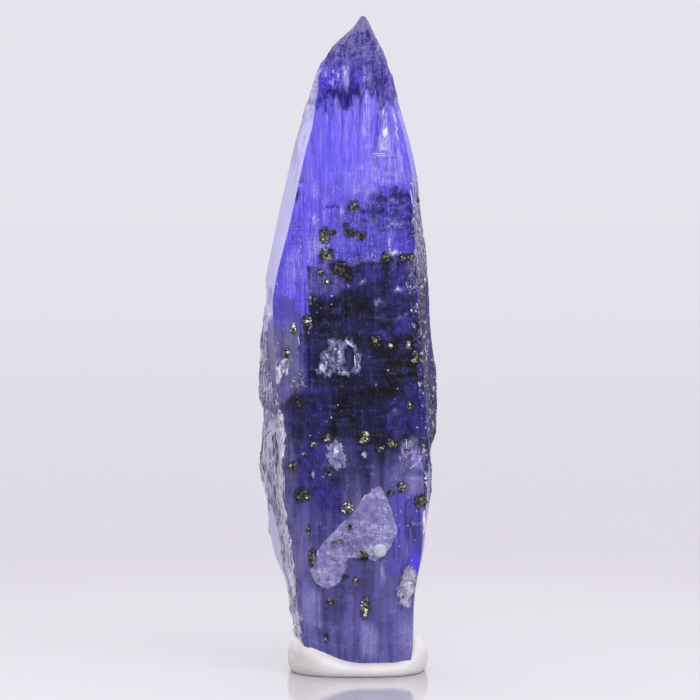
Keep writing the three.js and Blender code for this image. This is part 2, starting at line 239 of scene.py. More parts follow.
@dataclass(frozen=True)
class Mark:
    """A patch on a broad face: its middle, half sizes, strength, lean in degrees and squareness."""

    x: float
    z: float
    half_x: float
    half_z: float
    strength: float
    lean: float = 0
    squareness: float = 4

    def cover(self, x: Array, z: Array) -> Array:
        """The mark's strength at each place: a leaning superellipse with a soft edge.

        The two distances from the middle, each over its half size, are raised to the squareness and
        summed, and the root of the sum is 1 on the border. A larger mark has a softer edge.

        Args:
            x, z: places on the face.

        Returns:
            The strength inside, and 0 outside.
        """
        half = min(self.half_x, self.half_z)
        edge = min(0.05 + 0.5 * half, 0.24)
        turn = math.radians(self.lean)
        across = (x - self.x) * math.cos(turn) - (z - self.z) * math.sin(turn)
        along = (x - self.x) * math.sin(turn) + (z - self.z) * math.cos(turn)
        power = self.squareness
        reach = (np.abs(across / self.half_x) ** power + np.abs(along / self.half_z) ** power) ** (1 / power)
        return self.strength * (1 - smooth_step(-edge, edge, (reach - 1) * half))


@dataclass(frozen=True)
class Growth:
    """A patch with straight borders on a broad face: its corners' x and z, its strength and its edge."""

    corners: tuple[Pair, ...]
    strength: float = 1
    edge: float = 0.2

    def cover(self, x: Array, z: Array) -> Array:
        """The patch's strength at each place, by the distance to its outline.

        A place is inside when a line to its left crosses the outline an odd number of times.

        Args:
            x, z: places on the face.

        Returns:
            The strength inside, half of it on the outline, and 0 outside.
        """
        distance, inside = np.full(x.shape, np.inf), np.zeros(x.shape, bool)
        for (x0, z0), (x1, z1) in zip(self.corners, self.corners[1:] + self.corners[:1]):
            dx, dz = x1 - x0, z1 - z0
            share = np.clip(((x - x0) * dx + (z - z0) * dz) / (dx * dx + dz * dz), 0, 1)
            distance = np.minimum(distance, np.hypot(x - x0 - share * dx, z - z0 - share * dz))
            inside ^= ((z0 > z) != (z1 > z)) & (x < x0 + dx * (z - z0) / (dz or 1))
        return self.strength * smooth_step(-self.edge, self.edge, np.where(inside, distance, -distance))


def shard(x: float, z: float, half_x: float, half_z: float, strength: float, seed: int) -> Growth:
    """An uneven patch round a place: nine corners at jittered angles and distances.

    Args:
        x, z: its middle.
        half_x, half_z: its half sizes.
        strength: its strength.
        seed: chooses its outline.

    Returns:
        The patch.
    """
    draw, count = np.random.default_rng(seed), 9
    turn = (np.arange(count) + draw.uniform(-0.35, 0.35, count)) * 2 * np.pi / count
    reach = draw.uniform(0.6, 1.15, count)
    corners = zip(x + half_x * reach * np.cos(turn), z + half_z * reach * np.sin(turn))
    return Growth(tuple((float(across), float(up)) for across, up in corners), strength)


NEEDLE_PATCH = Growth((
    (2.94, 5.4), (3.06, 5.71), (3.25, 5.84), (3.31, 6.21), (3.44, 6.65), (3.69, 6.9), (3.94, 6.78),
    (4.12, 6.46), (4.31, 6.03), (4.19, 5.4), (3.88, 5.15), (3.81, 4.78), (3.75, 4.4), (3.44, 4.34),
    (3.19, 4.53), (3.12, 4.9),
), 0.95)

GROWTHS: dict[Zone, tuple[Growth, ...]] = {
    Zone.FROST: (
        Growth((
            (1.38, 11.9), (1.56, 11.78), (1.88, 11.96), (2.12, 11.65), (2.31, 11.21), (2.5, 10.71),
            (2.75, 10.15), (3, 9.4), (3, 8.96), (2.69, 8.46), (2.25, 7.71), (1.69, 7.28), (1.06, 7.46),
            (0.06, 7.53), (-0.19, 7.15), (0, 6.9), (-0.38, 6.4), (-0.56, 5.96), (-0.81, 5.71),
            (-1.19, 5.53), (-1.62, 5.59), (-2.06, 5.9), (-2.31, 6.34), (-2.38, 6.65), (-2.12, 6.9),
            (-2, 7.28), (-2, 7.78), (-1.81, 8.15), (-1.44, 8.53), (-0.81, 9.15), (-0.5, 9.65), (0, 10.03),
            (0.44, 10.53), (0.69, 11.03), (0.94, 11.34), (1.38, 11.65),
        )),
    ),
    Zone.WHITE: (
        Growth((
            (-1.38, 21.09), (-0.88, 21.21), (-0.38, 21.02), (0.06, 21.15), (0.38, 20.71), (0.75, 20.02),
            (0.62, 19.34), (0.56, 18.96), (0.19, 18.71), (-0.81, 18.77), (-1.19, 18.65), (-1.81, 18.77),
            (-2.31, 18.96), (-1.81, 19.4), (-1.75, 19.71), (-1.88, 20.09), (-1.56, 20.27), (-1.31, 20.52),
        ), 0.86),
        Growth((
            (-1.12, 14.78), (-0.75, 14.9), (-0.44, 14.59), (-0.3, 14.03), (-0.05, 13.59), (-0.2, 13.15),
            (-0.69, 12.9), (-1.19, 13.1), (-1.5, 13.65), (-1.35, 14.15), (-1.4, 14.6),
        ), 0.76),
        Growth((
            (-5.1, 19.1), (-4.6, 19.65), (-4, 19.9), (-3.5, 19.7), (-3.65, 18.9), (-4.15, 18.45),
            (-4.4, 17.6), (-4.9, 16.9), (-5.3, 17.3), (-5.35, 18.3),
        ), 0.64),
        NEEDLE_PATCH,
        shard(3.75, 13.95, 0.8, 1, 0.57, 4),
    ),
    Zone.WINDOW: (
        Growth((
            (-0.3, 20.2), (-0.05, 20.5), (0.2, 20.35), (0.34, 19.95), (0.22, 19.6), (0.36, 19.3),
            (0.05, 19.12), (-0.3, 19.3), (-0.16, 19.7),
        ), 0.95, 0.16),
    ),
}

# Each mark of a zone: x, z, half width, half height, strength, lean and squareness.
SPOTS: dict[Zone, tuple[tuple[float, ...], ...]] = {
    Zone.INDIGO: (
        (-0.9, 36.2, 0.98, 0.5, 0.62), (-0.2, 35.8, 0.5, 0.7, 0.9, 0, 3), (0.4, 36.3, 0.38, 0.5, 0.8, 0, 3),
        (0.1, 37.1, 0.41, 0.47, 0.7, 0, 3), (-1.8, 36.1, 0.16, 0.66, 0.5), (-1.47, 35.4, 0.09, 0.38, 0.7),
        (-0.97, 35.4, 0.09, 0.62, 0.6), (-0.38, 35.4, 0.12, 0.31, 0.95), (-0.09, 35.6, 0.09, 0.41, 0.9),
        (0.66, 35.4, 0.09, 0.75, 0.7), (1.7, 36.2, 0.25, 0.47, 0.45), (1.2, 39.8, 0.14, 0.45, 0.7),
        (0.85, 39.7, 0.1, 0.4, 0.62), (0.55, 39.9, 0.08, 0.3, 0.55), (-0.35, 38.9, 0.1, 0.3, 0.5),
        (0.3, 38.6, 0.12, 0.25, 0.5, 20), (1.6, 38.4, 0.1, 0.3, 0.5), (-1, 38.5, 0.14, 0.18, 0.5),
        (-0.1, 39.9, 0.19, 0.16, 0.7, -30), (-0.3, 39.3, 0.22, 0.31, 0.5), (0.5, 39.4, 0.16, 0.38, 0.55),
        (1.5, 37.8, 0.16, 0.28, 0.6), (1.7, 37, 0.45, 0.5, 0.5, 0, 3), (0.6, 38, 0.22, 0.25, 0.5, 0, 2),
        (0.2, 37.5, 0.16, 0.25, 0.7), (0.06, 36.8, 0.12, 0.31, 0.8), (-0.75, 30.6, 0.09, 0.09, 1, 0, 2),
        (1.59, 31.9, 0.09, 0.22, 0.75, 0, 2), (1.5, 31.7, 0.07, 0.65, 0.65), (1.95, 31.5, 0.05, 0.5, 0.5),
        (2.3, 31.6, 0.07, 0.65, 0.7), (2.8, 31.3, 0.06, 0.5, 0.5), (3.1, 33.7, 0.16, 1.5, 0.42, -14),
        (3.1, 34.3, 0.4, 0.1, 0.75, 46), (3.5, 34.2, 0.16, 1, 0.5, -14), (3.5, 33.2, 0.3, 0.1, 0.75, 48),
        (-2.28, 33, 0.09, 0.84, 0.6, 4), (0.69, 35.6, 0.06, 1.12, 0.5), (2.1, 29.7, 0.5, 0.2, 0.95),
        (2.8, 29.1, 1.6, 1.5, 0.42), (3.3, 30, 0.55, 0.14, 0.85), (3.3, 29.5, 0.5, 0.1, 0.75),
        (2.7, 29.3, 0.5, 0.08, 0.7), (2.9, 28.8, 0.3, 0.08, 0.65), (2.3, 28.3, 0.6, 0.07, 0.6),
        (3.4, 28.1, 0.5, 0.09, 0.65), (3.8, 27.6, 0.3, 0.14, 0.6), (2.9, 29.8, 0.4, 0.14, 0.9, 3),
        (1.4, 29.8, 0.34, 0.16, 0.5), (1.5, 29.3, 0.28, 0.12, 0.6), (2.4, 30.5, 0.56, 0.09, 0.55, 6),
        (2.9, 30.4, 0.25, 0.12, 0.85), (2.6, 30.2, 0.5, 0.08, 0.7), (3.7, 29.8, 0.25, 0.2, 0.75),
        (3.7, 29, 0.3, 0.2, 0.85), (3.6, 28.5, 0.4, 0.11, 0.75), (0.9, 28.8, 0.19, 0.16, 0.85, 0, 3),
        (1.9, 28.9, 0.5, 0.13, 0.9), (1.19, 28.9, 0.06, 0.88, 0.75), (1.41, 28.7, 0.06, 0.69, 0.7),
        (1.61, 28.4, 0.08, 0.38, 0.7), (2.8, 29, 0.16, 0.62, 0.6), (3.5, 29, 0.06, 0.78, 0.5),
        (-1.1, 29.2, 0.56, 0.08, 0.8), (3.2, 30.9, 0.34, 0.09, 0.65, 18),
        (0.9, 28.3, 0.19, 0.19, 0.5, 0, 2), (-3.2, 30, 0.16, 0.5, 0.7), (-3.2, 28.2, 0.28, 0.47, 0.4, 0, 3),
        (-3.3, 27.1, 0.28, 0.44, 0.45, 0, 3), (-2.8, 31, 0.25, 0.56, 0.3), (0.6, 26.1, 0.38, 0.28, 0.45),
        (-4.69, 24.5, 0.12, 0.94, 0.45), (0.6, 6.3, 0.9, 1.1, 0.32, 0, 3),
        (-0.9, 4.3, 0.78, 1.12, 0.4, 0, 3), (-0.8, 5.6, 0.88, 0.28, 0.4), (1.4, 5.9, 0.16, 1.34, 0.35),
        (3.9, 9.3, 0.05, 0.4, 0.8), (4.3, 9.8, 0.05, 0.5, 0.7), (0.4, 5.3, 0.19, 0.56, 0.4),
        (-1.41, 2.2, 0.12, 0.25, 1, 0, 2), (3.6, 9.6, 0.19, 0.31, 0.45, 0, 2), (4, 9, 0.12, 0.56, 0.75),
        (2.75, 8.3, 0.12, 0.53, 0.45), (0.7, 7.3, 0.47, 0.25, 0.6, 0, 2), (2.8, 16.8, 0.44, 0.16, 0.5),
        (3, 14.4, 0.47, 0.62, 0.8, 0, 3), (2.3, 13.8, 0.72, 0.94, 0.35, 0, 3),
    ),
    # Pale lavender marks; those of strength near 0.8 and above turn white as painted highlights.
    Zone.PALE: (
        (1.1, 34.4, 0.34, 1.95, 0.5), (1.2, 31.6, 0.25, 1.25, 0.3), (2.1, 35.5, 0.62, 0.5, 0.3),
        (2.8, 35.6, 0.44, 0.69, 0.5), (2.9, 33.1, 0.44, 1.16, 0.4), (2.6, 31.5, 1.5, 0.9, 0.4),
        (0.6, 30.9, 1.2, 0.9, 0.25), (3.7, 31.8, 0.25, 1.09, 0.3), (2.2, 34.6, 0.2, 0.5, 0.8, 0, 3),
        (2.2, 33.8, 0.26, 0.5, 0.93, 0, 3), (2.1, 32.8, 0.44, 0.26, 0.88, 0, 6),
        (2.1, 33.2, 0.38, 0.34, 0.82), (2, 32.4, 0.59, 0.11, 1, 0, 6), (2.12, 35.1, 0.12, 0.22, 1, 0, 2),
        (3.05, 34.65, 0.36, 0.14, 1, 42), (3.3, 34.1, 0.2, 0.1, 0.8, 50), (3.5, 33.6, 0.32, 0.13, 1, 40),
        (4.1, 30.1, 0.19, 0.75, 0.8), (0.8, 30.7, 0.56, 0.94, 0.35, 0, 3),
        (0.7, 31.6, 0.16, 0.12, 0.8, 0, 2), (1.84, 39, 0.09, 0.19, 0.9, 0, 2),
        (-1.5, 37.6, 0.19, 0.25, 0.5), (-1, 37, 0.06, 0.25, 0.75), (-0.2, 37.3, 0.19, 0.75, 0.75),
        (-0.66, 37.1, 0.09, 0.41, 0.6), (-0.9, 39.1, 0.19, 0.28, 0.8, 0, 3),
        (1.1, 37.1, 0.25, 0.47, 0.35, 0, 3), (1.9, 39, 0.31, 0.75, 0.25),
        (-2.1, 30.1, 0.31, 0.34, 0.4, 0, 2), (-2.17, 28.5, 0.08, 0.25, 0.85, -20),
        (-0.5, 28.9, 0.12, 0.44, 0.6), (0.38, 30.1, 0.12, 0.25, 0.7), (1, 29.8, 0.12, 0.38, 0.6),
        (1.2, 29.5, 0.41, 0.09, 0.5), (2.75, 26.4, 0.32, 0.13, 1, 0, 5), (2.5, 27, 0.1, 0.3, 0.9),
        (1.8, 23.3, 0.32, 0.16, 0.6), (0.8, 24.5, 0.26, 0.12, 0.75, -12),
        (2.8, 28.1, 0.38, 0.08, 0.6, 0, 8), (2.56, 27.1, 0.09, 0.62, 0.5), (-2.2, 25, 0.31, 1.44, 0.3),
        (-3.4, 25.5, 0.6, 0.9, 0.42), (-2.1, 26.7, 0.55, 0.7, 0.55), (-1.5, 24.6, 1.1, 0.95, 0.45),
        (-0.6, 13.7, 1, 1.3, 0.2), (0.3, 11.6, 0.75, 1.2, 0.3), (4, 13.9, 0.8, 0.9, 0.35),
        (4.1, 11.9, 0.6, 0.7, 0.35), (-0.7, 35.2, 0.16, 0.78, 0.3), (0.47, 33.8, 0.09, 1.56, 0.3),
        (-2.3, 4.1, 0.56, 1.31, 0.4, 0, 8), (1.3, 2.2, 0.5, 0.94, 0.4, 0, 5),
        (3.6, 2.3, 0.44, 1.25, 0.35, 0, 6), (2.06, 6.4, 0.12, 0.47, 0.6), (4.7, 9.7, 0.22, 0.78, 1),
        (3.56, 7.9, 0.12, 0.62, 0.5, 0, 2), (5.2, 17.9, 0.19, 3.12, 0.5), (3, 24.1, 0.31, 0.25, 0.9, 0, 2),
        (3.7, 23.9, 0.38, 0.34, 0.45), (3.7, 25.5, 0.28, 0.44, 0.5), (3.4, 22.5, 0.5, 0.06, 0.75, -24, 2),
        (2.8, 16.5, 0.22, 0.12, 0.7, 0, 3),
    ),
    Zone.VIOLET: (
        (-1.7, 24.5, 0.84, 1.12, 0.75, 0, 6), (-0.4, 24.6, 0.56, 0.47, 0.9, 0, 5),
        (0.6, 24.7, 0.47, 0.94, 0.35, 0, 5), (3.3, 24.7, 0.88, 1.31, 0.55, 0, 6),
        (1.4, 24, 0.47, 0.38, 0.45), (1.5, 25.2, 0.6, 0.6, 0.65), (0.9, 21.7, 1.3, 0.5, 0.35),
        (3.2, 23.1, 1.03, 0.5, 0.38, 0, 5), (3.5, 21.9, 0.75, 0.62, 0.7, 0, 5), (2, 21.4, 0.66, 0.41, 0.55),
        (4, 18, 0.53, 0.69, 0.45), (-2, 18.1, 1.06, 0.62, 0.35, 0, 5), (-2, 16.1, 0.84, 1.38, 0.35, 0, 5),
        (3.7, 16.3, 1.53, 1.12, 0.45, 0, 5), (-2.2, 13.3, 1.12, 1.44, 0.6, 0, 5),
        (1.6, 13.2, 1.75, 1.62, 0.2, 0, 5), (4.6, 12.9, 0.62, 1.88, 0.25), (-2.8, 19.9, 0.5, 1.12, 0.35),
        (-1.1, 10.2, 0.94, 1.69, 0.75, 0, 5), (-2.8, 9.8, 0.88, 2.56, 0.8), (-3.6, 16, 0.53, 1, 0.3, 0, 3),
        (-4, 22.9, 0.7, 0.75, 0.85, 6, 7), (-3.2, 22.3, 0.4, 0.5, 0.7, 0, 5),
    ),
    Zone.WHITE: (
        (-1.6, 19.2, 0.3, 0.55, 1, 8, 3), (-0.8, 14.1, 0.3, 0.5, 0.98, 10, 3),
        (-4.5, 19.1, 0.35, 0.35, 0.95, 0, 3), (-4.9, 17.9, 0.22, 0.5, 0.92),
        (-0.8, 20.5, 0.5, 0.5, 0.9, 0, 3), (0, 20.7, 0.41, 0.16, 1, 40, 3), (0.6, 19.6, 0.14, 0.7, 0.97, 6),
        (-0.2, 18.9, 0.66, 0.14, 1), (-1.4, 20.1, 0.25, 0.25, 0.6, 0, 3), (-4.2, 15.2, 0.19, 1.38, 0.8),
        (-4.6, 17.3, 0.34, 0.72, 0.4, 0, 3), (-3.2, 18.4, 0.5, 0.7, 0.5, 20, 3),
        (-2.9, 18.2, 0.19, 0.16, 0.7, 0, 2), (-4.56, 20.2, 0.12, 0.25, 0.6, 0, 2),
        (-3.2, 3.4, 0.41, 1, 0.6, 0, 5), (4.81, 14.1, 0.1, 0.32, 0.7, -8, 3),
        (4.5, 13.6, 0.36, 0.1, 0.85, -48, 3), (4, 13.2, 0.36, 0.09, 0.7, -22, 3),
        (0.3, 9.8, 0.6, 0.8, 0.42, -30, 3), (3.3, 12.8, 1.3, 0.1, 0.6, -42),
        (3.7, 16.9, 0.28, 0.38, 0.4, 0, 2), (0.9, 13.8, 0.16, 0.25, 1, 0, 2),
        (-2.31, 12.7, 0.12, 0.16, 1, 0, 2), (1.88, 14.2, 0.12, 0.12, 0.9, 0, 2),
        (-0.7, 8.3, 0.44, 0.34, 0.45, 0, 2), (-0.9, 7.5, 0.5, 0.22, 0.5, 15, 2),
        (0.3, 8.3, 0.8, 0.6, 0.42, 20, 3), (4.5, 20.8, 0.22, 0.31, 0.6, 0, 3),
        (4.9, 21.4, 0.16, 0.22, 0.95, 0, 2),
    ),
}

MARKS: dict[Zone, tuple[Mark | Growth, ...]] = {
    zone: tuple(Mark(*row) for row in SPOTS.get(zone, ())) + GROWTHS.get(zone, ()) for zone in Zone
}

BACK_MARKS: dict[Zone, tuple[Mark | Growth, ...]] = {
    Zone.FROST: (
        shard(-1.6, 26.9, 0.75, 0.5, 0.9, 1), shard(2.3, 11.2, 0.8, 1.9, 1, 6),
        shard(1.4, 9.4, 0.7, 0.8, 1, 3), shard(-2.6, 6.4, 0.6, 0.75, 0.9, 8),
        shard(0.5, 19.9, 0.3, 0.9, 0.8, 5),
    ),
    Zone.WHITE: (
        shard(1.9, 16, 1.1, 0.9, 0.75, 7), shard(1.3, 16.4, 0.4, 0.4, 1, 9),
        shard(-2.2, 21.6, 0.35, 1, 0.7, 10), shard(-3.2, 10.5, 0.35, 0.9, 0.7, 11),
        shard(0.2, 5.2, 0.6, 0.3, 0.7, 12),
    ),
    Zone.WINDOW: (),
}

# Clusters of grains on the front: x, z, half width, half height, coarseness and brightness; brightness lifts
# the tones towards brass and the bright face, a painted highlight.
CLUSTERS: tuple[tuple[float, ...], ...] = (
    (0.3, 29.2, 0.36, 0.36, 1.5, 1), (-1.5, 27.4, 0.34, 0.55, 1.4, 1), (-0.98, 27.6, 0.18, 0.18, 1, 1),
    (0.1, 27.6, 0.42, 0.3, 1.2, 0.8), (0.75, 27.45, 0.28, 0.26, 1.2, 0.7), (-0.2, 28.1, 0.2, 0.18, 1, 1),
    (-1.4, 26.2, 0.48, 0.46, 1.3, 1), (-0.55, 25.4, 0.6, 0.5, 1.2, 0.6), (-0.2, 24.9, 0.4, 0.3, 1.1, 0.65),
    (-1.75, 25.05, 0.28, 0.26, 1, 1), (-1.3, 24.6, 0.24, 0.2, 1, 1), (2.3, 26.1, 0.26, 0.4, 1.2, 1),
    (3.2, 26.05, 0.36, 0.28, 1.1, 1), (3.75, 26.1, 0.3, 0.24, 1, 1), (-2.3, 23.45, 0.26, 0.36, 1.1, 1),
    (-2.6, 22.1, 0.34, 0.42, 1.2, 1.35), (-3.4, 21.65, 0.22, 0.34, 1.1, 1.2),
    (-3.9, 20.2, 0.18, 0.5, 1.2, 1), (-3.2, 17.15, 0.46, 0.4, 1.3, 0.75),
    (0.95, 14.95, 0.32, 0.46, 1.7, 1.5), (1.7, 20.9, 0.34, 0.4, 1.2, 1), (2.5, 20.6, 0.3, 0.2, 1, 1),
    (3.65, 20.65, 0.26, 0.24, 1.4, 1.2), (4.15, 19.9, 0.32, 0.42, 1.6, 1.2),
    (3.8, 16.95, 0.26, 0.26, 1.2, 1), (-1.4, 14.95, 0.24, 0.36, 1.3, 1.1), (-2.2, 14.6, 0.2, 0.18, 1, 1),
    (1.95, 14.25, 0.34, 0.26, 1, 1), (2.6, 14.5, 0.4, 0.3, 0.9, 1), (-2.75, 13.85, 0.18, 0.16, 1.1, 1),
    (-3.55, 13.1, 0.26, 0.34, 1.3, 1), (-1.3, 12.85, 0.24, 0.32, 1.2, 1),
    (-2.9, 11.35, 0.5, 0.42, 1.1, 0.75), (-2.55, 11.2, 0.2, 0.22, 1.2, 1), (-0.1, 10.55, 0.42, 0.4, 1, 1.5),
    (3.35, 11.8, 0.36, 0.36, 1.1, 1.15), (2.6, 11.5, 0.26, 0.18, 1.1, 1), (4.45, 11, 0.42, 0.4, 1.6, 1),
    (-2.55, 9.15, 0.14, 0.34, 1.1, 1.3), (-2.3, 7.4, 0.24, 0.52, 1.4, 1), (0.08, 9.4, 0.12, 0.26, 1.1, 1),
    (0.85, 7.7, 0.42, 0.36, 1.5, 1), (-0.35, 6.25, 0.26, 0.24, 1.3, 1), (0.4, 6, 0.18, 0.24, 1.1, 1),
    (1, 4.4, 0.3, 0.66, 0.85, 1.35), (-1.1, 4.7, 0.22, 0.22, 1.2, 1), (-0.7, 8.4, 0.34, 0.24, 0.9, 1),
    (-1.45, 2.2, 0.12, 0.2, 1, 1),
)


# ---------------------------------------------------------------- the crystal's form


@dataclass(frozen=True)
class Outline:
    """A line of (z, value) points in millimetres, read with its corners softened."""

    points: tuple[Pair, ...]
    softening: float = 0.35

    def at(self, z: Array) -> Array:
        """The value at each height: linear between the points, as the mean of three readings.

        Args:
            z: heights in millimetres.

        Returns:
            The line's value at each height.
        """
        reach = self.softening * np.clip((TIP_Z - z) / 2, 0, 1)
        return sum(self.plain(z + step * reach) for step in (-1, 0, 1)) / 3

    def plain(self, z: Array) -> Array:
        """The value at each height with the corners left sharp."""
        return np.interp(z, *np.array(self.points).T)


@dataclass(frozen=True)
class CrystalForm:
    """The crystal's outlines and sections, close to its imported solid's, in millimetres."""

    left: Outline = Outline((
        (0.6, -3.4), (2.2, -3.5), (4.5, -3.75), (5.9, -4.05), (7.4, -4.7), (9, -5), (10.9, -5.15),
        (13.2, -5.55), (14.6, -5.4), (16.1, -5.25), (17.4, -5.55), (19.5, -5.55), (22.4, -5.35),
        (23.5, -5.15), (24.6, -5.25), (26.1, -4.95), (29.6, -4.2), (33.1, -3.4), (36, -2.5), (37.4, -2.05),
        (37.9, -1.95), (38.5, -1.5), (39.5, -0.75), (40.2, 0.1), (40.7, 0.5), (41.1, 0.75),
    ))
    right: Outline = Outline((
        (0.6, 3.85), (1.5, 4.05), (4.4, 4.1), (5.6, 4.25), (7.4, 4.7), (9.1, 4.85), (11.5, 5.2),
        (14.4, 5.25), (15, 5.5), (17.6, 5.55), (19, 5.45), (20.6, 5.2), (23.4, 5), (26.2, 4.85),
        (28.7, 4.5), (30.9, 4.3), (32.9, 3.9), (36, 3), (38.6, 2.3), (39.7, 1.7), (40.4, 1.4), (41.1, 1),
    ))
    front_left: Outline = Outline((
        (0.6, -2.8), (3, -3.05), (6.2, -3.4), (9.8, -3.9), (14, -4.25), (19.6, -4.55), (23.4, -4.75),
        (25.1, -4.45), (28.4, -3.6), (32.6, -2.7), (34, -2.3), (37.6, -1.75), (40.2, 0.3), (41.1, 0.8),
    ))
    front_right: Outline = Outline((
        (0.6, 3.78), (1.5, 3.96), (4.4, 4.02), (5.6, 4.15), (7.4, 4.5), (9.6, 4.72), (13.5, 4.9),
        (18.3, 4.7), (21.2, 4.5), (24, 4.25), (27.6, 4.1), (30.5, 3.85), (32.8, 3.5), (34.9, 3),
        (38.5, 2.05), (40.4, 1.25), (41.1, 0.95),
    ))
    front: Outline = Outline((
        (0.6, 2.75), (6, 3.1), (12, 3.4), (18, 3.45), (25, 3.2), (30, 2.85), (36, 2.05), (40.2, 0.55),
        (41.1, 0.16),
    ))
    back: Outline = Outline((
        (0.6, 2.5), (5, 2.9), (11, 3.35), (17, 3.3), (22, 3.4), (28, 2.9), (33.5, 2.3), (37.5, 1.35),
        (40.2, 0.5), (41.1, 0.16),
    ))
    ridge_x: Pair = (1.1, -0.9)  # of the front and back ridges
    edge_share: Pair = (0.88, 0.84)  # of the depth, at the front and back faces' edges
    side_edge_y: Pair = (-0.25, 0.5)  # of the left and right outermost edges
    back_edge_share: Pair = (0.8, 0.74)  # of the outline, at the left and right
    foot_z: float = 0.65
    foot_break_x: float = -0.3
    foot_break_slope: float = 0.5
    foot_blend_z: float = 4.5

    def corners(self, z: Array) -> Array:
        """The section's eight corners at each height, anticlockwise from above.

        The broad faces' corners lie on the outlines at a share of the depth, and the ridges lie at the
        full depth. All are drawn together where the crystal is slim.

        Args:
            z: heights, of shape (rows,).

        Returns:
            The corners' x and y, of shape (rows, 8, 2).
        """
        front, back = self.front.at(z), self.back.at(z)
        left, right = self.left.at(z), self.right.at(z)
        middle = (left + right) / 2
        slim = np.clip(front / 2, 0, 1)
        places = (
            (self.front_left.at(z), -front * self.edge_share[0]),
            (middle + (self.ridge_x[0] - middle) * slim, -front),
            (self.front_right.at(z), -front * self.edge_share[0]),
            (right, self.side_edge_y[1] * slim),
            (middle + (right - middle) * self.back_edge_share[1], back * self.edge_share[1]),
            (middle + (self.ridge_x[1] - middle) * slim, back),
            (middle + (left - middle) * self.back_edge_share[0], back * self.edge_share[1]),
            (left, self.side_edge_y[0] * slim),
        )
        return np.stack([np.stack(place, axis=-1) for place in places], axis=1)

    def foot_height(self, x: Array) -> Array:
        """The height of the broken foot: level on the right, rising with a slope to the left."""
        return self.foot_z + np.maximum(0, self.foot_break_x - x) * self.foot_break_slope


